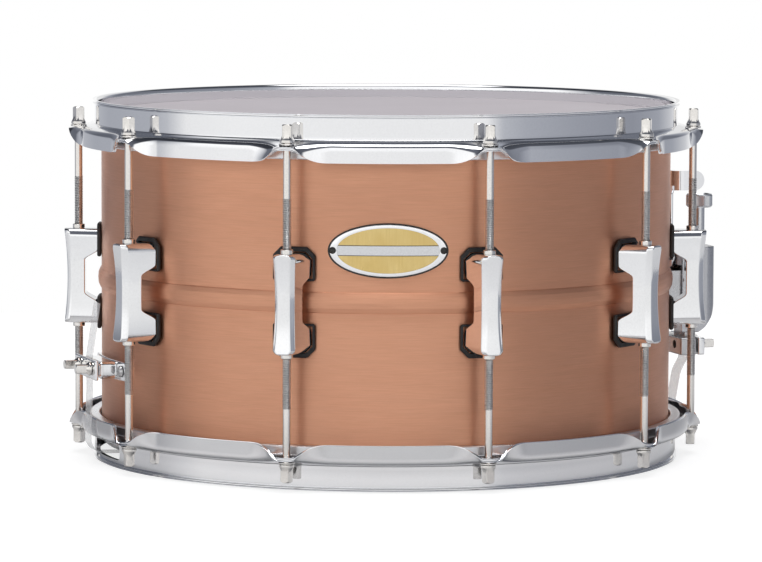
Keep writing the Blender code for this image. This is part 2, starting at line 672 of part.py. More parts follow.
def make_clamp(side, angle, plate_back, thickness, low, high, bolt_height):
    """The plate that presses the strap on its block, and its two bolts."""
    body = box((-CLAMP_HALF_WIDTH, plate_back, low), (CLAMP_HALF_WIDTH, plate_back + thickness, high))
    holes = bolt_holes(bolt_height, plate_back - 5 * MM, plate_back + thickness + 5 * MM)
    add_part(f"{side}_clamp_plate", cut(body, *holes), CHROME, angle)
    collar_low = plate_back + thickness + CLEAR
    collar_high = collar_low + CLAMP_BOLT_COLLAR
    shank_end = collar_low - CLAMP_BOLT_SHANK
    shank = turned([(0.0, collar_high), (4.4 * MM, collar_high), (4.4 * MM, collar_low),
                    (CLAMP_BOLT_RADIUS, collar_low), (CLAMP_BOLT_RADIUS, shank_end), (0.0, shank_end)],
                   steps=10)
    half = 2.6 * MM
    square = box((-half, -half, collar_high - 0.5 * MM), (half, half, collar_high + CLAMP_BOLT_SQUARE))
    bolt = joined(shank, square)
    for name, x in (("left", -CLAMP_BOLT_SPREAD), ("right", CLAMP_BOLT_SPREAD)):
        mesh = bolt.copy()
        mesh.transform(outward(x, bolt_height))
        add_part(f"{side}_clamp_bolt_{name}", mesh, CHROME, angle)


def make_butt():
    """A casting with two curved feet on the shell and a flat face that the strap is clamped to."""
    feet = sector(SHELL_RADIUS + 0.4 * MM, SHELL_RADIUS + 3.4 * MM, BUTT_FOOT_ANGLE, BUTT_LOW, BUTT_HIGH, 12)
    block = box((-20 * MM, SHELL_RADIUS + 1.0 * MM, BUTT_LOW + 0.5 * MM),
                (20 * MM, BUTT_BLOCK_FRONT, BUTT_HIGH - 0.5 * MM))
    screw_height = (BUTT_LOW + BUTT_HIGH) / 2
    screw_holes = [cylinder(2.0 * MM + CLEAR, 170 * MM, 190 * MM, 10, outward(0, screw_height, angle=side))
                   for side in (-BUTT_SCREW_ANGLE, BUTT_SCREW_ANGLE)]
    mesh = cut(joined(feet, block), *screw_holes, *bolt_holes(BUTT_BOLT_HEIGHT, 181 * MM, 200 * MM))
    add_part("butt_base", mesh, CHROME, BUTT_ANGLE)
    head_low = SHELL_RADIUS + 3.4 * MM + CLEAR
    screw = turned([(0.0, head_low + 1.8 * MM), (2.6 * MM, head_low + 1.8 * MM), (3.6 * MM, head_low),
                    (2.0 * MM, head_low), (2.0 * MM, SHELL_RADIUS + 1 * MM),
                    (0.0, SHELL_RADIUS + 1 * MM)], steps=12)
    for name, side in (("left", -BUTT_SCREW_ANGLE), ("right", BUTT_SCREW_ANGLE)):
        copy = screw.copy()
        copy.transform(outward(0, screw_height, angle=side))
        add_part(f"butt_screw_{name}", copy, STEEL, BUTT_ANGLE)


def make_wires():
    """Twenty strands across the snare head, held by an end plate at each end."""
    strands = []
    for number in range(STRAND_COUNT):
        x = (number - (STRAND_COUNT - 1) / 2) * STRAND_PITCH
        strands.append(cylinder(STRAND_RADIUS, -STRAND_HALF_LENGTH, STRAND_HALF_LENGTH, 4,
                                outward(x, STRAND_HEIGHT)))
    half_width = STRAND_COUNT / 2 * STRAND_PITCH + 1 * MM
    plates = []
    for end in (1, -1):
        inner = STRAND_HALF_LENGTH - 2 * MM
        ends = sorted((end * inner, end * (inner + END_PLATE_LENGTH)))
        plates.append(box((-half_width, ends[0], STRAND_HEIGHT - 0.9 * MM),
                          (half_width, ends[1], STRAND_HEIGHT + 0.9 * MM)))
    add_part("snare_wires", joined(plates[0], *strands, plates[1]), STEEL, BUTT_ANGLE)


def make_strap(name, path, angle):
    """A flat strap along a path of (radius, height) points."""
    mesh = bpy.data.meshes.new(name)
    points = [(x, -radius, height) for radius, height in path for x in (-STRAP_HALF_WIDTH, STRAP_HALF_WIDTH)]
    faces = [(2 * i, 2 * i + 1, 2 * i + 3, 2 * i + 2) for i in range(len(path) - 1)]
    mesh.from_pydata(points, [], faces)
    obj = add_object(name, mesh, CUTTERS)
    solidify = obj.modifiers.new("thickness", "SOLIDIFY")
    solidify.thickness = STRAP
    solidify.offset = 0.0
    solidify.use_even_offset = True
    add_part(name, evaluated(obj), STRAP_PLASTIC, angle)


def make_straps():
    under = [(154 * MM, 5.45 * MM), (166 * MM, 5.45 * MM), (172 * MM, 6.7 * MM), (183 * MM, 7.0 * MM),
             (188.5 * MM, 8.4 * MM), (191.8 * MM, 12.8 * MM)]
    held_at_butt = BUTT_BLOCK_FRONT + CLEAR + STRAP / 2
    held_at_strainer = STRAINER_BLOCK_FRONT + CLEAR + STRAP / 2
    make_strap("butt_strap", under + [(191.9 * MM, 22 * MM), (held_at_butt, 46 * MM),
                                      (held_at_butt, 67 * MM), (188.5 * MM, 82 * MM), (186 * MM, 99 * MM)],
               BUTT_ANGLE)
    make_strap("strainer_strap", under + [(193.3 * MM, 28 * MM), (196.3 * MM, 45 * MM),
                                          (held_at_strainer, 53.2 * MM), (held_at_strainer, 70.4 * MM)],
               STRAINER_ANGLE)


for old in list(bpy.data.objects):
    bpy.data.objects.remove(old, do_unlink=True)
DRUM = make_collection("snare_drum")
CUTTERS = make_collection("cutters")

COPPER = make_material("copper", (0.72, 0.40, 0.27), 0.35, 1.0)
CHROME = make_material("chrome", (0.80, 0.81, 0.83), 0.10, 1.0)
NICKEL = make_material("nickel", (0.66, 0.64, 0.61), 0.25, 1.0)
STEEL = make_material("steel", (0.60, 0.60, 0.61), 0.30, 1.0)
ALUMINIUM = make_material("aluminium", (0.78, 0.78, 0.80), 0.30, 1.0)
BRASS = make_material("brass", (0.78, 0.62, 0.30), 0.30, 1.0)
COATED_FILM = make_material("coated_film", (0.86, 0.86, 0.87), 0.70, 0.0)
CLEAR_FILM = make_material("clear_film", (0.75, 0.76, 0.78), 0.20, 0.0)
STRAP_PLASTIC = make_material("strap_plastic", (0.80, 0.82, 0.85), 0.25, 0.0)

make_shell()
make_heads()
make_hoops()
make_lugs()
make_rods()
make_badge()
make_vent()
make_strainer_bracket()
make_strainer_casing()
make_lever()
make_slider()
make_carriage()
make_adjuster()
make_clamp("strainer", STRAINER_ANGLE, STRAINER_BLOCK_FRONT + 2 * CLEAR + STRAP + 0.1 * MM, STRAINER_PLATE,
           57.0 * MM, STRAINER_BLOCK_HIGH, STRAINER_BOLT_HEIGHT)
make_clamp("butt", BUTT_ANGLE, BUTT_BLOCK_FRONT + 2 * CLEAR + STRAP + 0.1 * MM, BUTT_PLATE,
           BUTT_LOW, 65.5 * MM, BUTT_BOLT_HEIGHT)
make_butt()
make_wires()
make_straps()
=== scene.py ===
"""A 14 by 8 inch snare drum with a brushed copper shell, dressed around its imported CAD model.

Lengths in this file are in millimetres until a piece is added, which scales them to metres. Angles round
the drum are in degrees from -Y, growing towards +X; a fitting is shaped at angle 0, where outward is -Y
and its right-hand side is +X, and is then turned to its own angle. Points are (x, y, z).
"""

import json
import math

import bmesh
import bpy
from mathutils import Matrix, Vector

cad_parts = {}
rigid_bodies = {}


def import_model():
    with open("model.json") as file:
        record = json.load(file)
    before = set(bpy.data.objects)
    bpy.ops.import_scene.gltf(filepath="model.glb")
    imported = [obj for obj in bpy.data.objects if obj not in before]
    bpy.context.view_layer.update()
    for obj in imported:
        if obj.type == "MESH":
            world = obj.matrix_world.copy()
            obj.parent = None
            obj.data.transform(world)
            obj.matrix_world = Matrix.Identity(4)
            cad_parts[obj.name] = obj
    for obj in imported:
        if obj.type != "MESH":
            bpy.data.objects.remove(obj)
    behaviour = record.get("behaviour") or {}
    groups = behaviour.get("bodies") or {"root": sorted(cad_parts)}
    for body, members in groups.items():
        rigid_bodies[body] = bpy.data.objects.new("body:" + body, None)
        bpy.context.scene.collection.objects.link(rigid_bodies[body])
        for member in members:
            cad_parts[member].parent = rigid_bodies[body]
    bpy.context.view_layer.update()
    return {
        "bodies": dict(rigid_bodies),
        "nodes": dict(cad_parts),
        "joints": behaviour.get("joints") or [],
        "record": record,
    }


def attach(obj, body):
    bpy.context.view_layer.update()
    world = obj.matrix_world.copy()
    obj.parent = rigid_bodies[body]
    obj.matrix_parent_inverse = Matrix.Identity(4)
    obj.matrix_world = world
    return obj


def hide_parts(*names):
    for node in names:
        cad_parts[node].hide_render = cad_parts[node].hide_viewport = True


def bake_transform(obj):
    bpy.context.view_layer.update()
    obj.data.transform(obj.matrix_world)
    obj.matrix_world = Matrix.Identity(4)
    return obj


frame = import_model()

MM = 0.001
MIDDLE = 110.7
HEIGHT = 221.4

LUG_ANGLES = [18 + 36 * number for number in range(10)]
BADGE_ANGLE = 36
STRAINER_ANGLE = 144
BUTT_ANGLE = -36
VENT_ANGLE = 216

SHELL_RADIUS = 177.0
SHELL_WALL = 1.2
ROD_CIRCLE = 191.4
ROD_BORE = 3.1
BADGE_HEIGHT = 141.7


# ---- shapes

def turn(angle):
    return Matrix.Rotation(math.radians(angle), 4, "Z")


def turn_over():
    """Takes a piece of the batter end to its twin at the snare end."""
    return (Matrix.Translation((0, 0, MIDDLE)) @ Matrix.Rotation(math.pi, 4, "Y")
            @ Matrix.Translation((0, 0, -MIDDLE)))


def outward(x=0.0, height=0.0):
    """The place whose own +Z points outward at angle 0."""
    return Matrix.Translation((x, 0, height)) @ Matrix.Rotation(math.pi / 2, 4, "X")


def opened(mesh):
    work = bmesh.new()
    work.from_mesh(mesh)
    return work


def closed(work, mesh=None):
    """Writes what was worked on into a mesh, a new one unless one is given."""
    mesh = mesh or bpy.data.meshes.new("shape")
    work.to_mesh(mesh)
    work.free()
    return mesh


def behind(radius, height=0.0):
    """Moves a piece made round the drum's axis out to a circle of its own, at angle 0."""
    return Matrix.Translation((0, -radius, height))


def mesh_of(points, faces):
    work = bmesh.new()
    made = [work.verts.new(point) for point in points]
    for face in faces:
        work.faces.new([made[i] for i in face])
    bmesh.ops.delete(work, geom=[v for v in work.verts if not v.link_faces], context="VERTS")
    bmesh.ops.recalc_face_normals(work, faces=work.faces)
    return closed(work)


def loft(sections, ring=False):
    """A closed body through loops of points; a ring's last section meets its first."""
    count = len(sections[0])
    faces = []
    for i in range(len(sections) - (0 if ring else 1)):
        j = (i + 1) % len(sections)
        for k in range(count):
            n = (k + 1) % count
            faces.append((i * count + k, i * count + n, j * count + n, j * count + k))
    if not ring:
        faces += [tuple(range(count)), tuple(range((len(sections) - 1) * count, len(sections) * count))]
    return mesh_of([point for section in sections for point in section], faces)


def turned(profile, steps=96, ring=False):
    """A profile of (radius, height) points turned about Z. It starts and ends on the axis, or is a ring."""
    turns = [math.tau * i / steps for i in range(steps)]
    points = [(r * math.sin(a), -r * math.cos(a), h) for a in turns for r, h in profile]
    count, faces = len(profile), []
    for i in range(steps):
        j = (i + 1) % steps
        for k in range(count if ring else count - 1):
            n = (k + 1) % count
            face = [i * count + k, i * count + n, j * count + n, j * count + k]
            if not ring and k == 0:
                face = [0, face[1], face[2]]
            elif not ring and n == count - 1:
                face = [face[0], n, face[3]]
            faces.append(face)
    return mesh_of(points, faces)


def rounded(points, radii, steps=3, closed=True):
    """An outline with its corners rounded: radii is one number, or one for each corner."""
    out, count = [], len(points)
    for i, point in enumerate(points):
        radius = radii[i] if isinstance(radii, (list, tuple)) else radii
        here = Vector(point)
        if not radius or (not closed and i in (0, count - 1)):
            out.append(tuple(here))
            continue
        before, after = Vector(points[i - 1]) - here, Vector(points[(i + 1) % count]) - here
        half = before.angle(after) / 2
        reach = min(radius / math.tan(half), 0.49 * before.length, 0.49 * after.length)
        radius = reach * math.tan(half)
        before.normalize()
        after.normalize()
        centre = here + (before + after).normalized() * (radius / math.sin(half))
        first, last = here + before * reach - centre, here + after * reach - centre
        for step in range(steps + 1):
            out.append(tuple(centre + first.normalized().slerp(last.normalized(), step / steps) * radius))
    return out


def arc(u, v, radius, start, end, steps):
    turns = [math.radians(start + (end - start) * i / steps) for i in range(steps + 1)]
    return [(u + radius * math.cos(a), v + radius * math.sin(a)) for a in turns]


def prism(outline, low, high, place=None, bevel=0.0, segments=3):
    """An outline in x and y thickened from low to high, its two rims rounded, then set in place."""
    mesh = loft([[(x, y, z) for x, y in outline] for z in (low, high)])
    if bevel:
        work = opened(mesh)
        rims = [edge for edge in work.edges if abs(edge.verts[0].co.z - edge.verts[1].co.z) < 1e-6]
        bmesh.ops.bevel(work, geom=rims, offset=bevel, segments=segments, profile=0.5, affect="EDGES",
                        clamp_overlap=True)
        closed(work, mesh)
    if place is not None:
        mesh.transform(place)
    return mesh


def facing_front(outline, low, high, bevel=0.0, segments=3):
    """An outline in x and height, thickened outward from radius low to radius high."""
    return prism(outline, low, high, Matrix.Rotation(math.pi / 2, 4, "X"), bevel, segments)


def facing_side(outline, low, high, bevel=0.0, segments=3):
    """An outline in radius and height, thickened sideways from x low to x high."""
    place = Matrix(((0, 0, -1, 0), (-1, 0, 0, 0), (0, 1, 0, 0), (0, 0, 0, 1)))
    return prism(outline, -high, -low, place, bevel, segments)


def block(low, high, bevel, segments=3):
    """A box between two corners given as (x, radius, height), with every edge rounded."""
    work = bmesh.new()
    bmesh.ops.create_cube(work, size=1)
    for vertex in work.verts:
        x, r, z = [a + (b - a) * (c + 0.5) for a, b, c in zip(low, high, vertex.co)]
        vertex.co = (x, -r, z)
    bmesh.ops.recalc_face_normals(work, faces=work.faces)
    bmesh.ops.bevel(work, geom=work.edges[:], offset=bevel, segments=segments, profile=0.5, affect="EDGES",
                    clamp_overlap=True)
    bmesh.ops.recalc_face_normals(work, faces=work.faces)
    return closed(work)


def cylinder(radius, low, high, steps=32, bevel=0.0, place=None):
    profile = [(0, low), (radius, low), (radius, high), (0, high)]
    if bevel:
        profile = rounded(profile, bevel, 3, closed=False)
    mesh = turned(profile, steps)
    if place is not None:
        mesh.transform(place)
    return mesh


def linked(name, data):
    """A new object in the scene."""
    obj = bpy.data.objects.new(name, data)
    bpy.context.scene.collection.objects.link(obj)
    return obj


def combined(mesh, others, operation):
    """The mesh after one Boolean with all the other meshes, which stay clear of each other."""
    holder, tool = linked("holder", mesh), linked("tool", merged(others))
    modifier = holder.modifiers.new("combine", "BOOLEAN")
    modifier.operation, modifier.solver, modifier.object = operation, "MANIFOLD", tool
    bpy.context.view_layer.update()
    made = bpy.data.meshes.new_from_object(holder.evaluated_get(bpy.context.evaluated_depsgraph_get()))
    for used in (holder, tool):
        bpy.data.objects.remove(used)
    if not made.polygons:
        raise RuntimeError("a Boolean left nothing")
    return made


def merged(meshes):
    work = bmesh.new()
    for mesh in meshes:
        work.from_mesh(mesh)
    return closed(work)


def cut(mesh, *others):
    return combined(mesh, others, "DIFFERENCE")


def joined(mesh, *others):
    return combined(mesh, others, "UNION")


def flattened(mesh):
    """Joins the triangles that a Boolean leaves on a flat face, so that the face is shaded as one."""
    work = opened(mesh)
    bmesh.ops.dissolve_limit(work, angle_limit=math.radians(0.1), verts=work.verts, edges=work.edges)
    return closed(work, mesh)


def bent(mesh, radius=SHELL_RADIUS, step=2.0):
    """Wraps a flat piece round the drum: x becomes a length along the circle of that radius."""
    work = opened(mesh)
    reach = max(abs(vertex.co.x) for vertex in work.verts)
    for number in range(int(2 * reach / step)):
        bmesh.ops.bisect_plane(work, geom=work.verts[:] + work.edges[:] + work.faces[:], dist=1e-4,
                               plane_co=((number + 0.5) * step - reach, 0, 0), plane_no=(1, 0, 0))
    closed(work, mesh)
    for vertex in mesh.vertices:
        x, y, _ = vertex.co
        angle = x / radius
        vertex.co.x, vertex.co.y = -y * math.sin(angle), y * math.cos(angle)
    return mesh


def copied(mesh, *places):
    made = mesh.copy()
    for place in places:
        made.transform(place)
    return made


def add(name, mesh, material, body, angle=0.0, replaces=(), sharp=32, weighted=True):
    """Scales a shape to metres, turns it to its angle and gives it to a CAD body, unless that is None."""
    mesh = mesh.copy()
    mesh.transform(Matrix.Scale(MM, 4) @ turn(angle))
    mesh.materials.clear()
    mesh.materials.append(material)
    mesh.shade_smooth()
    mesh.set_sharp_from_angle(angle=math.radians(sharp))
    obj = linked(name, mesh)
    if weighted:
        obj.modifiers.new("normals", "WEIGHTED_NORMAL").keep_sharp = True
    if body:
        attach(obj, body)
    if replaces:
        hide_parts(*replaces)
    return obj


# ---- materials

class Finish:
    """A Principled material whose detail comes from textures in the object's own space."""

    def __init__(self, name, color, metallic=1.0, roughness=0.3, **constants):
        self.material = bpy.data.materials.new(name)
        self.material.use_nodes = True
        self.tree = self.material.node_tree
        self.shader = self.tree.nodes["Principled BSDF"]
        self.set("Base Color", (*color, 1.0))
        self.set("Metallic", metallic)
        self.set("Roughness", roughness)
        for key, value in constants.items():
            self.set(key.title(), value)
        self.place = self.node("ShaderNodeTexCoord").outputs["Object"]
        self.height = None

    def set(self, socket, value):
        self.shader.inputs[socket].default_value = value

    def node(self, kind, **inputs):
        made = self.tree.nodes.new(kind)
        for key, value in inputs.items():
            socket = made.inputs[key]
            if isinstance(value, bpy.types.NodeSocket):
                self.tree.links.new(value, socket)
            else:
                socket.default_value = value
        return made

    def noise(self, scale, stretch=(1, 1, 1), detail=3.0, roughness=0.55):
        """Noise with features about 1/scale metres wide, squeezed by stretch along each axis."""
        mapping = self.node("ShaderNodeMapping", Vector=self.place, Scale=stretch)
        texture = self.node("ShaderNodeTexNoise", Vector=mapping.outputs[0], Scale=scale, Detail=detail,
                            Roughness=roughness)
        return texture.outputs["Fac"]

    def spread(self, value, low, high, start=0.3, end=0.7):
        made = self.node("ShaderNodeMapRange", Value=value)
        for key, number in (("From Min", start), ("From Max", end), ("To Min", low), ("To Max", high)):
            made.inputs[key].default_value = number
        return made.outputs[0]

    def mixed(self, share, first, second):
        made = self.node("ShaderNodeMix")
        made.data_type = "RGBA"
        self.tree.links.new(share, made.inputs[0])
        for index, color in ((6, first), (7, second)):
            if isinstance(color, bpy.types.NodeSocket):
                self.tree.links.new(color, made.inputs[index])
            else:
                made.inputs[index].default_value = (*color, 1.0)
        return made.outputs[2]

    def drive(self, socket, value):
        self.tree.links.new(value, self.shader.inputs[socket])
        return self

    def bump(self, value, depth, strength=1.0):
        """Adds relief of about that many millimetres, on top of any added before."""
        made = self.node("ShaderNodeBump", Height=value, Strength=strength, Distance=depth * MM)
        if self.height is not None:
            self.tree.links.new(self.height, made.inputs["Normal"])
        self.height = made.outputs[0]
        return self.drive("Normal", self.height)


def plated(name, color, roughness, vary, haze, peel=0.004, grain=0.0):
    """Bright plating: soft smudges in its gloss, faint colour drift and the slightest orange peel."""
    finish = Finish(name, color, roughness=roughness)
    smudge = finish.noise(38, detail=5)
    dust = finish.noise(900, detail=2)
    finish.drive("Roughness", finish.spread(smudge, roughness - vary, roughness + vary))
    darker = tuple(c * (1 - haze) for c in color)
    finish.drive("Base Color", finish.mixed(finish.spread(dust, 0, 1, 0.35, 0.75), color, darker))
    finish.bump(finish.noise(150), peel)
    if grain:
        finish.bump(finish.noise(700, (1, 1, 0.05), detail=2), grain)
    return finish.material


def brushed_copper():
    """Satin copper brushed round the drum: fine grain across the height, drifting warmth and dull patches."""
    finish = Finish("brushed_copper", (0.92, 0.50, 0.32), roughness=0.48, anisotropic=0.85)
    finish.set("Anisotropic Rotation", 0.25)
    tangent = finish.node("ShaderNodeTangent")
    tangent.direction_type, tangent.axis = "RADIAL", "Z"
    finish.drive("Tangent", tangent.outputs[0])
    fine = finish.noise(55, (1, 1, 62), detail=4, roughness=0.7)
    broad = finish.noise(22, (1, 1, 16), detail=3)
    drift = finish.noise(7, (1, 1, 1.6), detail=2)
    base = finish.mixed(finish.spread(drift, 0, 1), (0.925, 0.475, 0.30), (0.955, 0.510, 0.33))
    streaked = finish.mixed(finish.spread(broad, 0, 0.30, 0.35, 0.75), base, (0.84, 0.44, 0.295))
    grained = finish.mixed(finish.spread(fine, 0, 0.42, 0.35, 0.72), streaked, (0.74, 0.375, 0.235))
    finish.drive("Base Color", grained)
    finish.drive("Roughness", finish.spread(fine, 0.44, 0.56))
    finish.bump(fine, 0.006)
    return finish.material


def film(name, color, roughness, alpha, speckle, relief):
    """Plastic film: a faint grain in its gloss and colour, see-through where alpha is below 1."""
    finish = Finish(name, color, metallic=0.0, roughness=roughness, alpha=alpha)
    finish.set("Specular IOR Level", 0.03 if alpha == 1 else 0.5)
    spots = finish.noise(speckle, detail=4, roughness=0.7)
    wide = finish.noise(14, detail=3)
    finish.drive("Base Color", finish.mixed(finish.spread(wide, 0, 1), color, tuple(0.95 * c for c in color)))
    finish.drive("Roughness", finish.spread(spots, roughness - 0.08, roughness + 0.08))
    finish.bump(spots, relief)
    return finish.material


def rubber():
    finish = Finish("black_rubber", (0.012, 0.012, 0.013), metallic=0.0, roughness=0.55)
    pores = finish.noise(1400, detail=3)
    finish.drive("Roughness", finish.spread(finish.noise(120), 0.48, 0.68))
    dusty = finish.mixed(finish.spread(pores, 0, 1), (0.010, 0.010, 0.011), (0.022, 0.021, 0.021))
    finish.drive("Base Color", dusty)
    finish.bump(pores, 0.02)
    return finish.material


def gilt():
    """The badge's face: soft gold with a vertical brush and a slight warm bloom."""
    finish = Finish("badge_gold", (0.80, 0.62, 0.27), metallic=0.85, roughness=0.32)
    brush = finish.noise(60, (14, 14, 1), detail=4, roughness=0.7)
    bloom = finish.noise(40, detail=2)
    base = finish.mixed(finish.spread(bloom, 0, 1), (0.84, 0.66, 0.30), (0.74, 0.54, 0.20))
    finish.drive("Base Color", finish.mixed(finish.spread(brush, 0, 0.35), base, (0.62, 0.44, 0.15)))
    finish.drive("Roughness", finish.spread(brush, 0.26, 0.40))
    finish.bump(brush, 0.004)
    return finish.material


def enamel():
    finish = Finish("black_enamel", (0.02, 0.018, 0.016), metallic=0.0, roughness=0.3)
    finish.drive("Roughness", finish.spread(finish.noise(300), 0.22, 0.4))
    finish.bump(finish.noise(500), 0.004)
    return finish.material


COPPER = brushed_copper()
CHROME = plated("polished_chrome", (0.90, 0.905, 0.92), 0.055, 0.02, 0.03)
CAST_CHROME = plated("cast_chrome", (0.88, 0.885, 0.895), 0.09, 0.03, 0.04, peel=0.010)
SATIN_CHROME = plated("satin_chrome", (0.70, 0.71, 0.73), 0.24, 0.05, 0.06, peel=0.006)
COVER_CHROME = plated("cover_chrome", (0.54, 0.545, 0.57), 0.22, 0.05, 0.06, peel=0.006)
NICKEL = plated("rod_nickel", (0.87, 0.845, 0.81), 0.15, 0.04, 0.08, grain=0.003)
THREAD = plated("rolled_thread", (0.74, 0.73, 0.715), 0.30, 0.06, 0.18, grain=0.003)
STEEL = plated("plain_steel", (0.62, 0.62, 0.63), 0.28, 0.07, 0.12, peel=0.010, grain=0.006)
WIRE = plated("snare_wire_steel", (0.74, 0.74, 0.75), 0.20, 0.05, 0.10)
ALUMINIUM = plated("satin_aluminium", (0.80, 0.80, 0.82), 0.30, 0.06, 0.06, grain=0.008)
RUBBER = rubber()
GOLD = gilt()
ENAMEL = enamel()
COATED = film("coated_film", (0.585, 0.545, 0.570), 0.72, 1.0, 1500, 0.03)
CLEAR = film("clear_film", (0.86, 0.87, 0.89), 0.22, 0.55, 500, 0.004)
STRAP = film("strap_film", (0.95, 0.955, 0.965), 0.28, 0.34, 700, 0.006)


# ---- shell and heads

def make_shell():
    """Spun sheet: edges bent in at 45 degrees and a raised bead with crisp shoulders."""
    top = MIDDLE + 101.6
    outlines = []
    for radius, lip in ((SHELL_RADIUS, 0.0), (SHELL_RADIUS - SHELL_WALL, 0.7 * SHELL_WALL)):
        crest = radius + 2.1  # of the bead
        half = [
            (radius - 2.5, top - lip, 0.0), (radius, top - lip - 2.5, 1.2),
            (radius, MIDDLE + 6.3, 0.12), (radius + 0.75, MIDDLE + 5.6, 0.5),
            (crest - 0.25, MIDDLE + 3.2, 2.0), (crest, MIDDLE, 3.0),
        ]
        other = [(r, 2 * MIDDLE - z, c) for r, z, c in half[:-1]][::-1]
        outlines.append(half + other)
    outline = outlines[0] + outlines[1][::-1]
    profile = rounded([(r, z) for r, z, _ in outline], [c for _, _, c in outline], 4)
    mesh = turned(profile, 240, ring=True)
    vent = cylinder(6.6, SHELL_RADIUS - 10, SHELL_RADIUS + 10, 48,
                    place=turn(VENT_ANGLE) @ outward(0, BADGE_HEIGHT))
    add("copper_shell", cut(mesh, vent), COPPER, "root", replaces=["shell"])


def make_heads():
    """Films drawn over the shell's edges, each with the flesh hoop that holds it."""
    top, radius, film = 213.1, 177.8, 0.5
    flesh = rounded([(184.4, 200.9), (184.4, 194.9), (178.2, 194.9), (178.2, 200.9)], 0.9, 4)
    outline = [(0, top), (radius - 2.9, top), (radius, top - 2.7), (radius, 199.4), (radius - film, 199.4),
               (radius - film, top - 3.1), (radius - 3.2, top - film), (0, top - film)]
    sheet = turned(rounded(outline, [0, 3.0, 3.0, 0.1, 0.1, 2.5, 2.5, 0], 5, closed=False), 192)
    hoop = turned(flesh, 192, ring=True)
    for end, place, material, slot in (("batter", Matrix.Identity(4), COATED, "coated_film"),
                                       ("snare", turn_over(), CLEAR, "clear_film")):
        add(f"{end}_film", copied(sheet, place), material, "root", replaces=[f"{end}_head"])
        add(f"{end}_flesh_ring", copied(hoop, place), ALUMINIUM, "root",
            replaces=[f"{end}_flesh_hoop"])


# ---- hoops

SHEET = 2.3
SKIRT = 11.5 - SHEET / 2
WALL_RADIUS, LIP_RADIUS = 180.15, 183.4 - SHEET / 2
EAR_HALF, SKIRT_FULL = 5.5, 26.5


def skirt_fall(offset):
    """How far the skirt has come down, 0 on an ear and 1 between ears, at an angle from the nearest rod."""
    along = math.radians(abs(offset)) * ROD_CIRCLE
    start = (along - EAR_HALF) / (SKIRT_FULL - EAR_HALF)
    share = min((math.hypot(start, 0.07) + start) / 2, 1.0)
    return 1 - (1 - share) ** 2.6


def hoop_section(offset):
    """The sheet's closed outline in (radius, height): lip, wall, flange and a skirt that opens into ears."""
    fall = skirt_fall(offset)
    ear = (1 - fall) ** 0.6
    corner = (188.85 - 1.95 * ear, 93.1 - 1.45 * ear)
    reach, drop = 0.2 + (SKIRT - 0.2) * ear, (SKIRT - 0.3) * fall + 0.3
    lip = HEIGHT / 2 - SHEET / 2
    line = [
        (LIP_RADIUS, lip), (WALL_RADIUS, lip), (WALL_RADIUS, 106.4), (WALL_RADIUS, 98.5), (WALL_RADIUS, 94.9),
        (184.9, 93.9 - 0.3 * ear),
        (corner[0] + 0.72 * reach - 0.1, corner[1] - 0.05 * drop), (corner[0] + reach, corner[1] - drop),
    ]
    centre = rounded(line, [0, 1.5, 0, 0, 1.7, 3.0, 2.2 + 5.0 * ear, 0], 6, closed=False)
    bend, end = Vector(centre[-2]), Vector(centre[-1])
    centre = centre[:-1] + [tuple(bend.lerp(end, step / 5)) for step in range(1, 6)]
    count, half = len(centre), SHEET / 2
    left, right = [], []
    for i, point in enumerate(centre):
        along = Vector(centre[min(i + 1, count - 1)]) - Vector(centre[max(i - 1, 0)])
        across = Vector((-along.y, along.x)).normalized() * half
        left.append(Vector(point) + across)
        right.append(Vector(point) - across)

    def cap(middle, start):
        return [middle + Matrix.Rotation(math.pi * step / 6, 2) @ (start - middle) for step in range(1, 6)]

    return left + cap(Vector(centre[-1]), left[-1]) + right[::-1] + cap(Vector(centre[0]), right[0])


def hoop_mesh():
    """The batter hoop, with its ten ears drilled for the rods."""
    fine = [0.27 * step for step in range(-30, 31)]
    wide = [-18 + 1.1 * step for step in range(9)]
    offsets = wide + fine + [-offset for offset in wide[:0:-1]]
    sections = []
    for lug in LUG_ANGLES:
        for offset in offsets:
            angle = math.radians(lug + offset)
            sections.append([(r * math.sin(angle), -r * math.cos(angle), MIDDLE + h)
                             for r, h in hoop_section(offset)])
    solid = loft(sections, ring=True)
    holes = [cylinder(ROD_BORE, MIDDLE + 87, MIDDLE + 96, 24, place=turn(lug) @ behind(ROD_CIRCLE))
             for lug in LUG_ANGLES]
    return cut(solid, *holes)


def make_hoops():
    batter = hoop_mesh()
    snare = copied(batter, turn_over())
    gates = []
    for angle in (STRAINER_ANGLE, BUTT_ANGLE):
        outline = rounded([(-27, 4.5), (27, 4.5), (27, 13.9), (-27, 13.9)], 3.0, 5)
        gate = facing_front(outline, 172, 184.2)
        gate.transform(turn(angle))
        gates.append(gate)
    for end, mesh in (("batter", batter), ("snare", cut(snare, *gates))):
        add(f"{end}_rim", mesh, CHROME, f"{end}_hoop", replaces=[f"{end}_hoop"], sharp=70,
            weighted=False)


# ---- lugs, nuts and gaskets

LUG_HALF = 29.55
LUG_BACK, LUG_LIFTED = 178.6, 187.2
FRONT_ROUNDING, FOOT_CORNER, CHAMFER = 3.2, 4.2, 2.6


def lug_back(height):
    """The radius of the lug's back: on the shell at its two feet, and lifted clear between them."""
    t = min(max((17.0 - abs(height)) / 7.0, 0.0), 1.0)
    return LUG_BACK + (LUG_LIFTED - LUG_BACK) * t * t * (3 - 2 * t)


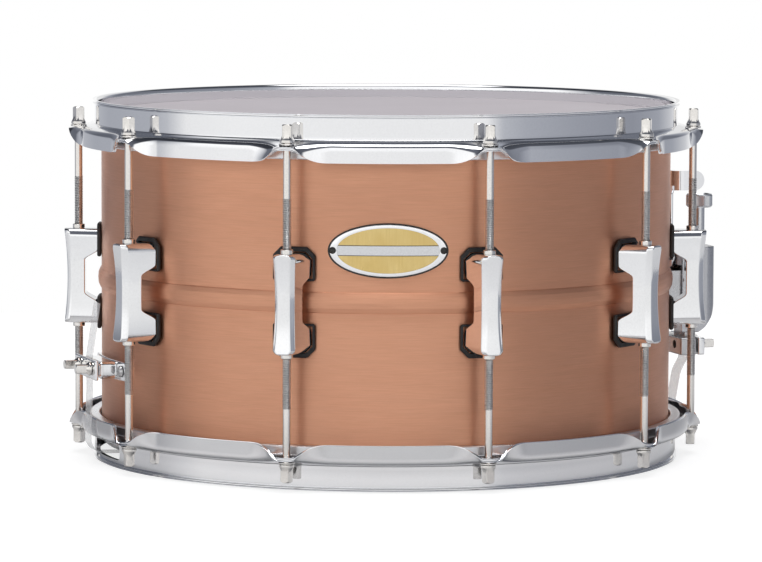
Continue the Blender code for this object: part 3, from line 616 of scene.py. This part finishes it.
def lug_section(height, inset=0.0):
    """Narrow at the waist and flared to both ends, where its corners are taken off."""
    flare = (height / LUG_HALF) ** 2
    left_over = LUG_HALF - abs(height)
    missing = max(FRONT_ROUNDING - left_over, 0.0)
    front_corner = FRONT_ROUNDING - math.sqrt(FRONT_ROUNDING ** 2 - missing ** 2)
    foot_corner = max(FOOT_CORNER - left_over, 0.0)
    front = 198.3 + 2.0 * flare - inset
    back = lug_back(height)
    foot = 10.9 + 0.6 * flare - inset - foot_corner
    shoulder = 6.0 + 1.2 * flare - inset - front_corner
    face = 3.6 + 1.4 * flare - inset - front_corner
    share = (back - LUG_BACK) / (front - CHAMFER - LUG_BACK)
    half = [(foot + (shoulder - foot) * share, back), (shoulder, front - CHAMFER), (face, front)]
    outline = half + [(-x, r) for x, r in half[::-1]]
    return [(x, -r, height) for x, r in rounded(outline, [0.7, 3.2, 1.9, 1.9, 3.2, 0.7], 5)]


def make_lugs():
    heights = [LUG_HALF * step / 40 for step in range(-40, 41)]
    extra = [side * (LUG_HALF - 1.0 - 0.3 * step) for side in (-1, 1) for step in range(8)]
    heights = sorted(h for h in set(heights + extra) if abs(h) <= LUG_HALF - 1.0)
    sections = [lug_section(h) for h in heights]
    for step in range(1, 5):
        angle = math.pi / 2 * step / 4
        height, inset = LUG_HALF - 1.0 + math.sin(angle), 1.0 - math.cos(angle)
        sections.append(lug_section(height, inset))
        sections.insert(0, lug_section(-height, inset))
    on_rod = behind(ROD_CIRCLE)
    bores = [cylinder(ROD_BORE, low, high, 24, place=on_rod)
             for low, high in ((6.8, LUG_HALF + 2), (-LUG_HALF - 2, -6.8))]
    body = copied(cut(loft(sections), *bores), Matrix.Translation((0, 0, MIDDLE)))
    nut_profile = rounded([(2.85, LUG_HALF + 0.1), (3.75, LUG_HALF + 0.1), (3.75, LUG_HALF + 2.5),
                           (2.85, LUG_HALF + 2.5)], [0, 0, 0.8, 0.1], 4)
    nut = copied(turned([(r, MIDDLE + h) for r, h in nut_profile], 36, ring=True), on_rod)
    gasket = gasket_mesh()
    for number, angle in enumerate(LUG_ANGLES, 1):
        add(f"cast_lug_{number:02d}", body, CAST_CHROME, "root", angle, [f"lug_{number:02d}"])
        for end, place in (("batter", Matrix.Identity(4)), ("snare", turn_over())):
            add(f"{end}_nut_{number:02d}", copied(nut, place), NICKEL, "root", angle)
            add(f"{end}_gasket_{number:02d}", copied(gasket, place), RUBBER, "root", angle,
                weighted=False)


def gasket_mesh():
    """A rubber collar round a lug's foot, with its corners taken off, bent to the shell."""
    def frame(half, low, high, corner):
        return [(-half, low), (half, low), (half, high - corner), (half - corner, high),
                (corner - half, high), (-half, high - corner)]
    outer = rounded(frame(13.0, 123.2, 143.5, 5.0), 1.6, 5)
    inner = rounded(frame(11.65, 124.5, 140.7, 4.2), 0.5, 3)
    return bent(cut(facing_front(outer, 177.15, 179.8, 1.1, 4), facing_front(inner, 170, 190)))


# ---- tension rods

THREAD_TOP = 61.6
ROD_TURNS = [13, -15, 22, 4, -27, 38, 10, -8, 31, 17]


def square_outline(half, corner):
    return rounded([(-half, -half), (half, -half), (half, half), (-half, half)], corner, 3)


def rod_mesh():
    """Plain shank, rolled thread and a square key head on a flange; heights above the drum's middle."""
    pitch, ridge, tip, per_turn, around = 1.058, 0.36, 24.0, 6, 16
    thread_rows = int((THREAD_TOP - tip) / pitch * per_turn)
    flange = [(4.55, 95.9), (4.55, 94.35), (2.4, 94.1), (2.4, THREAD_TOP + 0.4)]
    levels = [(r, z, 0.0) for r, z in rounded(flange, [0.4, 0.5, 0.4, 0], 3, closed=False)]
    levels += [(2.46, THREAD_TOP - i * (THREAD_TOP - tip) / thread_rows, 1.0) for i in range(thread_rows + 1)]
    levels += [(2.5, tip - 0.3, 0.0), (2.5, 12.3, 0.0), (1.6, 11.3, 0.0)]
    sections = []
    for radius, height, thread in levels:
        ring = []
        for k in range(around):
            angle = math.tau * k / around
            wave = abs(((height / pitch - k / around) % 1.0) * 2 - 1)
            r = radius + thread * ridge * (wave - 0.4)
            ring.append((r * math.cos(angle), r * math.sin(angle), height))
        sections.append(ring)
    square = prism(square_outline(2.75, 0.45), 95.0, 105.3)
    top = turned(rounded([(0, 94.5), (4.6, 94.5), (4.6, 103.6), (2.6, 105.3), (0, 105.3)],
                         [0, 0, 1.0, 0.8, 0], 4, closed=False), 32)
    cone = turned(rounded([(0, 95.2), (4.3, 95.2), (4.3, 96.0), (2.6, 99.6), (0, 99.6)],
                          [0, 0.1, 0.5, 0.5, 0], 3, closed=False), 32)
    return joined(joined(loft(sections), cone), combined(square, [top], "INTERSECT"))


def make_rods():
    whole = rod_mesh()
    washer = turned(rounded([(4.9, 93.15), (4.9, 94.05), (2.6, 94.05), (2.6, 93.15)],
                            [0.25, 0.25, 0.1, 0.1], 3), 32, ring=True)
    on_rod = behind(ROD_CIRCLE, MIDDLE)
    for end, place in (("batter", Matrix.Identity(4)), ("snare", turn_over())):
        for number, angle in enumerate(LUG_ANGLES, 1):
            mesh = copied(whole, turn(ROD_TURNS[number - 1]), on_rod, place)
            node = f"{end}_rod_{number:02d}"
            rod = add(f"{end}_tension_rod_{number:02d}", mesh, NICKEL, node, angle, [node])
            rod.data.materials.append(THREAD)
            for face in rod.data.polygons:
                face.material_index = int(abs(face.center.z / MM - MIDDLE) < THREAD_TOP + 0.3)
            add(f"{end}_washer_{number:02d}", copied(washer, on_rod, place), NICKEL,
                f"{end}_hoop", angle)


# ---- badge and vent

def oval(half_width, half_height, centre, steps=96):
    round_it = arc(0, 0, 1, 0, 360 - 360 / steps, steps - 1)
    return [(half_width * u, centre + half_height * v) for u, v in round_it]


def make_badge():
    """A dark-edged oval: silver rim, gilt face, a plain silver band across it and a rivet at each tip."""
    back, inner = 177.3, (30.2, 13.3)

    def plate(half_width, half_height, high, hole=None, bevel=0.0):
        mesh = facing_front(oval(half_width, half_height, BADGE_HEIGHT), back, high, bevel)
        return cut(mesh, facing_front(oval(*hole, BADGE_HEIGHT), 170, 190)) if hole else mesh

    def bar(half, half_height, low, high):
        bottom, top = BADGE_HEIGHT - half_height, BADGE_HEIGHT + half_height
        return facing_front([(-half, bottom), (half, bottom), (half, top), (-half, top)], low, high)

    def band(half_height, high):
        return combined(bar(31, half_height, back, high), [plate(*inner, 190)], "INTERSECT")

    stripe = band(2.75, 178.05)
    edging = cut(band(3.1, 177.98), bar(35, 2.8, 170, 190))
    face = cut(plate(*inner, 177.9), bar(35, 3.15, 170, 190))
    for name, mesh, material, replaced in (
            ("badge_edge", plate(35.5, 16.2, 177.85, (34.45, 15.3)), ENAMEL, ["badge"]),
            ("badge_rim", plate(34.4, 15.25, 178.1, (30.25, 13.35), 0.2), CHROME, []),
            ("badge_face", face, GOLD, []), ("badge_band", stripe, SATIN_CHROME, []),
            ("badge_edging", edging, ENAMEL, [])):
        add(name, bent(mesh), material, "root", BADGE_ANGLE, replaced, weighted=False)
    rivet = turned(rounded([(0, 177.5), (2.1, 177.5), (2.1, 178.2), (1.3, 178.8), (0, 178.9)],
                           [0, 0, 0.3, 0.5, 0], 4, closed=False), 32)
    ring = turned([(0.9, 178.0), (0.9, 179.5), (1.25, 179.5), (1.25, 178.0)], 24, ring=True)
    rivet = cut(rivet, copied(ring, Matrix.Translation((0, 0, 0.72))))
    for side, x in (("left", -32.6), ("right", 32.6)):
        spot = copied(rivet, outward(0, BADGE_HEIGHT), turn(math.degrees(x / SHELL_RADIUS)))
        add(f"badge_rivet_{side}", spot, ENAMEL, "root", BADGE_ANGLE)


def make_vent():
    inside = SHELL_RADIUS - SHELL_WALL - 0.8
    outline = [(9.0, 178.6), (9.0, 177.3), (6.1, 177.3), (6.1, inside), (7.5, inside), (7.5, inside - 0.8),
               (4.8, inside - 0.8), (4.8, 178.6)]
    ring = turned(rounded(outline, [0.8, 0.2, 0.1, 0.1, 0.3, 0.3, 0.3, 0.9], 4), 48, ring=True)
    ring.transform(outward(0, BADGE_HEIGHT))
    add("vent_eyelet", ring, CHROME, "root", VENT_ANGLE, ["vent_grommet"])


# ---- strainer

KNOB_CIRCLE = 211.0
RIVET_CIRCLE, RIVET_HEIGHTS = 196.3, {"lower": 94, "upper": 104}
LEVER_PIVOT = 118.0


def crossing(radius, reach, height, steps=16, bevel=0.0):
    """A cylinder across the strainer, where the cover is riveted to its frame."""
    return cylinder(radius, -reach, reach, steps, bevel,
                    behind(RIVET_CIRCLE, height) @ Matrix.Rotation(math.pi / 2, 4, "Y"))


def make_bracket():
    low, high, step = 88, 124, 110
    outline = [(177.5, low), (203, low), (203, step), (184, step), (184, high), (177.5, high), (177.5, 119.3),
               (181, 119.3), (181, 100), (177.5, 100)]
    outline = rounded(outline, [0.3, 2.5, 2.5, 1.5, 1.5, 0.3, 0.3, 0.8, 0.8, 0.3], 3)
    body = facing_side(outline, -11.7, 11.7, 0.5, 2)
    channel = facing_front([(-9.8, low - 5), (9.8, low - 5), (9.8, step + 5), (-9.8, step + 5)], 184, 210)
    pivot = cylinder(2.5, 170, 190, 24, place=outward(0, LEVER_PIVOT))
    pins = [crossing(1.6, 20, height) for height in RIVET_HEIGHTS.values()]
    add("strainer_frame", flattened(cut(cut(body, channel), pivot, *pins)), STEEL, "root",
        STRAINER_ANGLE, ["strainer_bracket"])
    for name, height in RIVET_HEIGHTS.items():
        pin = crossing(1.3, 14.4, height, 24, 0.3)
        add(f"casing_rivet_{name}", pin, STEEL, "root", STRAINER_ANGLE, [f"casing_pin_{name}"])


CASING_SIDE = [(218.0, 94.0), (217.3, 88.0), (215.0, 80.5), (210.0, 73.5), (204.0, 69.5)]


def casing_form(inset):
    """The cover's outside, or its hollow when inset: plan rounded at the front, its foot curving in."""
    half, corner = 14.0 - inset, 7.0 - inset
    back = 194.4 - (5 if inset else 0)
    front = arc(half - corner, -KNOB_CIRCLE, corner, 0, -90, 10)
    plan = [(half, -back)] + front + [(-x, y) for x, y in front[::-1]] + [(-half, -back)]
    low, high = 70.5 - (5 if inset else 0), 125 - inset
    body = prism(plan, low, high, bevel=0.0 if inset else 0.7)
    side = rounded([(back - 3, high + 1), (219 - inset, high + 1), (219 - inset, 95)]
                   + [(r - inset, z) for r, z in CASING_SIDE] + [(204 - inset, low - 2), (back - 3, low - 2)],
                   [0, 0, 0, 6, 8, 8, 8, 0, 0, 0], 4)
    return combined(body, [facing_side(side, -20, 20)], "INTERSECT")


def make_casing():
    shaft = cylinder(3.9, 110, 132, 32, place=behind(KNOB_CIRCLE))
    pins = [crossing(1.6, 20, height) for height in RIVET_HEIGHTS.values()]
    mesh = flattened(cut(cut(casing_form(0.0), casing_form(1.8)), shaft, *pins))
    add("strainer_cover", mesh, COVER_CHROME, "root", STRAINER_ANGLE, ["strainer_casing"])


def make_lever():
    """A flat arm on a radial pin, its head rolled outward into a rounded finger tab."""
    hub_radius, arm_half, back, front = 7.0, 2.5, 190.6, 192.2
    start = math.degrees(math.acos(arm_half / hub_radius))
    hub = arc(0, LEVER_PIVOT, hub_radius, start, start - 360 + 2 * (90 - start), 32)
    arm = hub + [(-arm_half, 158.5), (-4.5, 161.0), (-4.5, 163.5),
                 (4.5, 163.5), (4.5, 161.0), (arm_half, 158.5)]
    radii = [0] * len(hub) + [2.0, 1.0, 0, 0, 1.0, 2.0]
    flat = facing_front(rounded(arm, radii, 4), back, front, 0.35, 2)
    outside = rounded([(7.0, -back), (-7.0, -back), (-7.0, -212)], [0, 7.2, 0], 10, closed=False)
    inside = rounded([(-5.4, -212), (-5.4, -front), (7.0, -front)], [0, 5.6, 0], 10, closed=False)
    low, high, radius = 160.6, 173.0, 6.2
    middle = (low + high) / 2
    side = [(185, low)] + arc(211.5 - radius, middle, radius, -90, 90, 24) + [(185, high)]
    face = rounded([(-10, low - 2), (7.2, low - 2), (7.0, high), (-10, high)], [0, 0, 4.5, 0], 6)
    tab = combined(prism(outside + inside, low, high), [facing_side(side, -12, 12)], "INTERSECT")
    tab = combined(tab, [facing_front(face, 180, 220)], "INTERSECT")
    hole = cylinder(2.5, 185, 196, 24, place=outward(0, LEVER_PIVOT))
    mesh = flattened(cut(joined(flat, tab), hole))
    add("throw_lever", mesh, CHROME, "lever", STRAINER_ANGLE, ["strainer_lever"])
    outline = rounded([(0, 193.5), (4, 193.5), (4, 192.5), (2.2, 192.5), (2.2, 181), (0, 181)],
                      [0, 0.6, 0.1, 0.1, 0.2, 0], 4, closed=False)
    pin = turned(outline, 32)
    pin.transform(outward(0, LEVER_PIVOT))
    add("lever_pin", pin, STEEL, "root", STRAINER_ANGLE, ["lever_pivot_pin"])


def guided_block(low, high):
    outline = [(9.3, -198), (9.3, -213.8), (7.8, -215.3), (-7.8, -215.3), (-9.3, -213.8), (-9.3, -198)]
    return prism(rounded(outline, 0.5, 3), low, high, bevel=0.4)


BOLT_PLACES = {"left": -13.4, "right": 13.4}


def bolt_holes(height, low, high):
    return [cylinder(2.7, low, high, 24, place=outward(x, height)) for x in BOLT_PLACES.values()]


def make_slider():
    hole = cylinder(3.8, 80, 140, 32, place=behind(KNOB_CIRCLE))
    add("slide_block", flattened(cut(guided_block(112, 121), hole)), STEEL, "slider", STRAINER_ANGLE,
        ["strainer_slider"])
    leg = block((-9.0, 198, 59), (9.0, 200.4, 106), 0.4)
    arm = block((-24, 189.5, 57), (24, 200.4, 68), 1.2)
    mesh = joined(joined(arm, leg), guided_block(99, 107))
    mesh = cut(mesh, hole, *bolt_holes(63.3, 180, 210))
    add("clamp_block", flattened(mesh), STEEL, "carriage", STRAINER_ANGLE, ["clamp_carriage"])
    add_clamp("strainer", "carriage", STRAINER_ANGLE, 201.6, 4.4, 57.0, 68.0, 63.3)


def make_adjuster():
    """The thumb screw: a shaft into the cover and a finely knurled knob with a dished top."""
    ridges, depth = 96, 0.14
    slim = rounded([(0, 157.2), (6.3, 157.2), (6.9, 157.9), (8.0, 157.9), (8.0, 149.3), (3.5, 149.3),
                    (3.5, 95), (0, 95)], [0, 0.3, 0.2, 0.7, 0.8, 0.3, 0.6, 0], 4, closed=False)
    knurl = []
    for radius, height in ((8.05, 150.1), (8.36, 150.5), (8.36, 156.8), (8.05, 157.2)):
        spokes = [(radius - depth * (k % 2), math.pi * k / ridges) for k in range(2 * ridges)]
        knurl.append([(r * math.sin(a), -r * math.cos(a), height) for r, a in spokes])
    knob = joined(turned(slim, 96), loft(knurl))
    knob.transform(behind(KNOB_CIRCLE))
    add("thumb_screw", knob, SATIN_CHROME, "adjuster", STRAINER_ANGLE, ["adjuster_screw"], sharp=28)


# ---- clamps, butt, snares

def bolt_mesh():
    """A square-headed bolt along +Z from its collar's underside."""
    shank = turned(rounded([(0, 1.4), (4.3, 1.4), (4.3, 0), (2.4, 0), (2.4, -11), (0, -11)],
                           [0, 0.6, 0.3, 0.1, 0.5, 0], 3, closed=False), 32)
    square = prism(square_outline(2.6, 0.5), 0.8, 9.4)
    tip = turned(rounded([(0, 0.5), (4.4, 0.5), (4.4, 8.4), (2.7, 9.4), (0, 9.4)], [0, 0, 1.2, 0.8, 0], 4,
                         closed=False), 32)
    neck = turned(rounded([(0, 1.0), (4.0, 1.0), (2.5, 3.4), (0, 3.4)],
                          [0, 0.2, 0.4, 0], 3, closed=False), 32)
    return joined(joined(shank, neck), combined(square, [tip], "INTERSECT"))


def add_clamp(side, body, angle, back, thickness, low, high, bolt_height):
    plate = cut(block((-24, back, low), (24, back + thickness, high), 0.9),
                *bolt_holes(bolt_height, back - 5, back + thickness + 5))
    add(f"{side}_strap_plate", flattened(plate), CAST_CHROME, body, angle, [f"{side}_clamp_plate"])
    bolt = bolt_mesh()
    for name, x in BOLT_PLACES.items():
        placed = copied(bolt, Matrix.Translation((0, 0, back + thickness + 0.3)), outward(x, bolt_height))
        add(f"{side}_strap_bolt_{name}", placed, NICKEL, body, angle,
            [f"{side}_clamp_bolt_{name}"])


def make_butt():
    """A casting with a curved foot at each side and a square block between them."""
    reach = math.radians(11.0) * SHELL_RADIUS
    low, high = 53.5, 65.0
    screws, screw_height = {"left": -8.7, "right": 8.7}, (low + high) / 2
    feet = rounded([(-reach, low), (reach, low), (reach, high), (-reach, high)], 4.0, 6)
    feet = bent(facing_front(feet, 177.4, 180.4, 0.6))
    body = block((-20, 178.0, low + 0.5), (20, 190.3, high - 0.5), 2.6, 5)
    holes = [cylinder(2.3, 170, 190, 20, place=turn(side) @ outward(0, screw_height))
             for side in screws.values()]
    mesh = cut(joined(feet, body), *holes, *bolt_holes(60.0, 181, 200))
    add("butt_casting", flattened(mesh), CAST_CHROME, "root", BUTT_ANGLE, ["butt_base"])
    head = turned(rounded([(0, 182.5), (2.6, 182.5), (3.6, 180.7), (2.0, 180.7), (2.0, 178), (0, 178)],
                          [0, 0.8, 0.2, 0.1, 0.3, 0], 4, closed=False), 32)
    slots = [prism([(-w, -h), (w, -h), (w, h), (-w, h)], 181.6, 184) for w, h in ((1.9, 0.4), (0.4, 1.9))]
    screw = cut(cut(head, slots[0]), slots[1])
    for name, side in screws.items():
        placed = copied(screw, outward(0, screw_height), turn(side))
        add(f"butt_fixing_{name}", placed, STEEL, "root", BUTT_ANGLE, [f"butt_screw_{name}"])
    add_clamp("butt", "root", BUTT_ANGLE, 191.5, 2.2, 53.5, 65.5, 60.0)


def make_wires():
    """Twenty coiled strands soldered to an end plate at each side."""
    coil, wire, pitch, length, per_turn = 0.78, 0.22, 2.0, 306.0, 8
    count, apart, height, end = 20, 2.15, 6.9, 164
    turns = int(length / pitch)
    strands = []
    for number in range(count):
        x = (number - (count - 1) / 2) * apart
        rings = []
        for step in range(turns * per_turn + 1):
            angle = math.tau * step / per_turn
            along = -length / 2 + pitch * step / per_turn
            radial = Vector((math.cos(angle), 0, math.sin(angle)))
            ring = []
            for corner in range(4):
                c = math.tau * corner / 4
                offset = radial * (coil + wire * math.cos(c)) + Vector((0, 1, 0)) * (wire * math.sin(c))
                ring.append((x + offset.x, along + offset.y, height + offset.z))
            rings.append(ring)
        strands.append(loft(rings))
    plates = [block((-22.5, low, 6.0), (22.5, low + 12, 7.8), 0.35, 2) for low in (end - 12, -end)]
    obj = add("snare_strands", merged(strands + plates), WIRE, None, BUTT_ANGLE,
              ["snare_wires"], weighted=False, sharp=60)
    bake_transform(obj)


def strap_mesh(path, radii):
    """A flat strap along (radius, height) points, with rounded edges and ends that follow the bends."""
    line = rounded(path, radii, 6, closed=False)
    sections = []
    for i, point in enumerate(line):
        along = Vector(line[min(i + 1, len(line) - 1)]) - Vector(line[max(i - 1, 0)])
        across = Vector((-along.y, along.x)).normalized() * 0.25
        section = []
        for x, share in ((-7.25, 0), (-7.05, 1), (7.05, 1), (7.25, 0), (7.05, -1), (-7.05, -1)):
            r, z = Vector(point) + across * share
            section.append((x, -r, z))
        sections.append(section)
    return loft(sections)


# The route both straps share: from a wire plate, along the head and out through a gate in the hoop.
UNDER = [(154, 5.45), (166, 5.45), (172, 6.7), (183, 7.0), (188.5, 8.4), (191.8, 12.8)]


def make_straps():
    butt = UNDER + [(191.9, 22), (190.85, 46), (190.85, 67), (188.5, 82), (186, 99)]
    add("butt_tape", strap_mesh(butt, [0, 20, 20, 8, 6, 8, 40, 30, 20, 30, 0]), STRAP, "root",
        BUTT_ANGLE, ["butt_strap"])
    strainer = UNDER + [(193.3, 28), (196.3, 45), (200.95, 53.2), (200.95, 70.4)]
    obj = add("strainer_tape", strap_mesh(strainer, [0, 20, 20, 8, 6, 8, 40, 15, 8, 0]), STRAP, None,
              STRAINER_ANGLE, ["strainer_strap"])
    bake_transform(obj)


# ---- stage

# The camera's place: degrees round the drum, and metres from its axis and above its foot.
CAMERA_ANGLE = 35.51
CAMERA_DISTANCE = 2.8107
CAMERA_HEIGHT = 0.372


def make_camera():
    """Stands where the view puts it: a long lens, slightly above, panned and rolled by a hair."""
    pitch, pan, roll = 0.0939, 0.001, 0.0037
    right = Vector((math.cos(pan), math.sin(pan), 0))
    forward = Vector((-math.sin(pan) * math.cos(pitch), math.cos(pan) * math.cos(pitch), -math.sin(pitch)))
    up = right.cross(forward)
    level = (right * math.cos(roll) + up * math.sin(roll), up * math.cos(roll) - right * math.sin(roll))
    axes = Matrix((level[0], level[1], -forward)).transposed().to_4x4()
    camera = linked("camera", bpy.data.cameras.new("camera"))
    camera.data.sensor_width = 36
    camera.data.lens = 213.49
    camera.data.clip_end = 100
    camera.matrix_world = turn(CAMERA_ANGLE) @ behind(CAMERA_DISTANCE, CAMERA_HEIGHT) @ axes
    bpy.context.scene.camera = camera


# How bright the room is, by degrees round from the camera's side: near the floor, at the height of the lamps,
# and above them.
LOW_ROOM = [(-180, 1.00), (-166, 0.98), (-158, 0.48), (-140, 0.41), (-105, 0.44), (-94, 0.55), (-84, 0.88),
            (-60, 0.93), (0, 0.90), (39, 0.90), (46, 0.50), (56, 0.42), (80, 0.35), (112, 0.30), (135, 0.38),
            (152, 0.62), (166, 0.98)]
LAMP_ROOM = [(-180, 1.00), (-166, 0.80), (-156, 0.22), (-140, 0.13), (-100, 0.16), (-88, 0.60), (-76, 1.10),
             (-30, 1.15), (0, 1.05), (38, 1.00), (47, 0.44), (70, 0.28), (110, 0.20), (142, 0.17),
             (154, 0.34), (166, 0.80)]
HIGH_ROOM = [(-180, 0.12), (-150, 0.04), (-100, 0.04), (-70, 0.08), (-30, 0.14), (20, 0.13), (50, 0.10),
             (110, 0.07), (150, 0.06)]
CEILING = 4.8
# How strongly the floor glows, by metres from the drum's axis.
FLOOR_GLOW = [(metres, (level, level, level, 1)) for metres, level in (
    (0.192, 0.0), (0.206, 0.21), (0.235, 0.21), (0.295, 0.0), (0.38, 0.0), (0.50, 0.28))]


def graded(ramp, stops):
    """Fills a colour ramp with (position, colour) stops."""
    elements = ramp.color_ramp.elements
    while len(elements) < len(stops):
        elements.new(0.5)
    for element, (position, color) in zip(elements, stops):
        element.position, element.color = position, color


def make_studio():
    """A soft room: a broad bank of light towards the camera, dimmer sides, a white wall and light above."""
    world = bpy.data.worlds.new("studio")
    bpy.context.scene.world = world
    world.use_nodes = True
    tree = world.node_tree
    tree.nodes.clear()

    def node(kind, **settings):
        made = tree.nodes.new(kind)
        for key, value in settings.items():
            setattr(made, key, value)
        return made

    link = tree.links.new
    place = node("ShaderNodeTexCoord")
    spin = node("ShaderNodeMapping", vector_type="POINT")
    spin.inputs["Rotation"].default_value = (0, 0, -math.radians(CAMERA_ANGLE))
    link(place.outputs["Generated"], spin.inputs["Vector"])
    parts = node("ShaderNodeSeparateXYZ")
    link(spin.outputs[0], parts.inputs[0])
    flip = node("ShaderNodeMath", operation="MULTIPLY")
    flip.inputs[1].default_value = -1
    link(parts.outputs["Y"], flip.inputs[0])
    azimuth = node("ShaderNodeMath", operation="ARCTAN2")
    link(parts.outputs["X"], azimuth.inputs[0])
    link(flip.outputs[0], azimuth.inputs[1])
    share = node("ShaderNodeMapRange")
    for key, value in (("From Min", -math.pi), ("From Max", math.pi), ("To Min", 0), ("To Max", 1)):
        share.inputs[key].default_value = value
    link(azimuth.outputs[0], share.inputs["Value"])

    def around(levels):
        stops = []
        for angle, level in levels:
            cool = max(0.0, 0.75 - level) * 0.22
            color = (level * (1 - 0.5 * cool), level, level * (1 + 1.5 * cool), 1)
            stops.append(((angle + 180) / 360, color))
        ramp = node("ShaderNodeValToRGB")
        graded(ramp, stops)
        link(share.outputs[0], ramp.inputs[0])
        return ramp.outputs[0]

    def over(start, end, first, second):
        """Passes from one colour to another between two heights in the sky, in degrees."""
        step = node("ShaderNodeMapRange", interpolation_type="SMOOTHSTEP")
        step.inputs["From Min"].default_value = math.sin(math.radians(start))
        step.inputs["From Max"].default_value = math.sin(math.radians(end))
        link(parts.outputs["Z"], step.inputs["Value"])
        mix = node("ShaderNodeMix", data_type="RGBA")
        link(step.outputs[0], mix.inputs[0])
        link(first, mix.inputs[6])
        if isinstance(second, tuple):
            mix.inputs[7].default_value = second
        else:
            link(second, mix.inputs[7])
        return mix.outputs[2]

    lit = over(-2, 4, around(LOW_ROOM), around(LAMP_ROOM))
    lit = over(26, 36, lit, around(HIGH_ROOM))
    lit = over(64, 72, lit, (CEILING, CEILING, CEILING, 1))
    room = node("ShaderNodeBackground")
    link(lit, room.inputs["Color"])
    plain = node("ShaderNodeBackground")
    plain.inputs["Color"].default_value = (1, 1, 1, 1)
    seen = node("ShaderNodeLightPath")
    choose = node("ShaderNodeMixShader")
    link(seen.outputs["Is Camera Ray"], choose.inputs[0])
    link(room.outputs[0], choose.inputs[1])
    link(plain.outputs[0], choose.inputs[2])
    out = node("ShaderNodeOutputWorld")
    link(choose.outputs[0], out.inputs["Surface"])

    floor = linked("floor", cylinder(900, -4, -0.3, 96))
    floor.data.transform(Matrix.Scale(MM, 4))
    pale = Finish("pale_floor", (0.46, 0.46, 0.465), metallic=0.0, roughness=0.30)
    pale.set("Emission Color", (1, 1, 1, 1))
    apart = pale.node("ShaderNodeVectorMath", Vector=pale.place)
    apart.operation = "LENGTH"
    glowing = pale.node("ShaderNodeValToRGB", Fac=apart.outputs["Value"])
    graded(glowing, FLOOR_GLOW)
    pale.drive("Emission Strength", glowing.outputs[0])
    pale.drive("Roughness", pale.spread(pale.noise(12), 0.28, 0.32))
    sheet = pale.node("ShaderNodeBsdfDiffuse", Color=(0.32, 0.32, 0.32, 1))
    glow = pale.node("ShaderNodeEmission", Color=(0.80, 0.80, 0.80, 1))
    bright = pale.node("ShaderNodeAddShader")
    pale.tree.links.new(sheet.outputs[0], bright.inputs[0])
    pale.tree.links.new(glow.outputs[0], bright.inputs[1])
    seen = pale.node("ShaderNodeLightPath")
    choose = pale.node("ShaderNodeMixShader")
    end = pale.tree.nodes["Material Output"]
    for start, socket in ((seen.outputs["Is Camera Ray"], choose.inputs[0]),
                          (pale.shader.outputs[0], choose.inputs[1]), (bright.outputs[0], choose.inputs[2]),
                          (choose.outputs[0], end.inputs["Surface"])):
        pale.tree.links.new(start, socket)
    floor.data.materials.append(pale.material)
    bpy.context.scene.view_settings.view_transform = "Standard"


make_shell()
make_heads()
make_hoops()
make_lugs()
make_rods()
make_badge()
make_vent()
make_bracket()
make_casing()
make_lever()
make_slider()
make_adjuster()
make_butt()
make_wires()
make_straps()
make_camera()
make_studio()
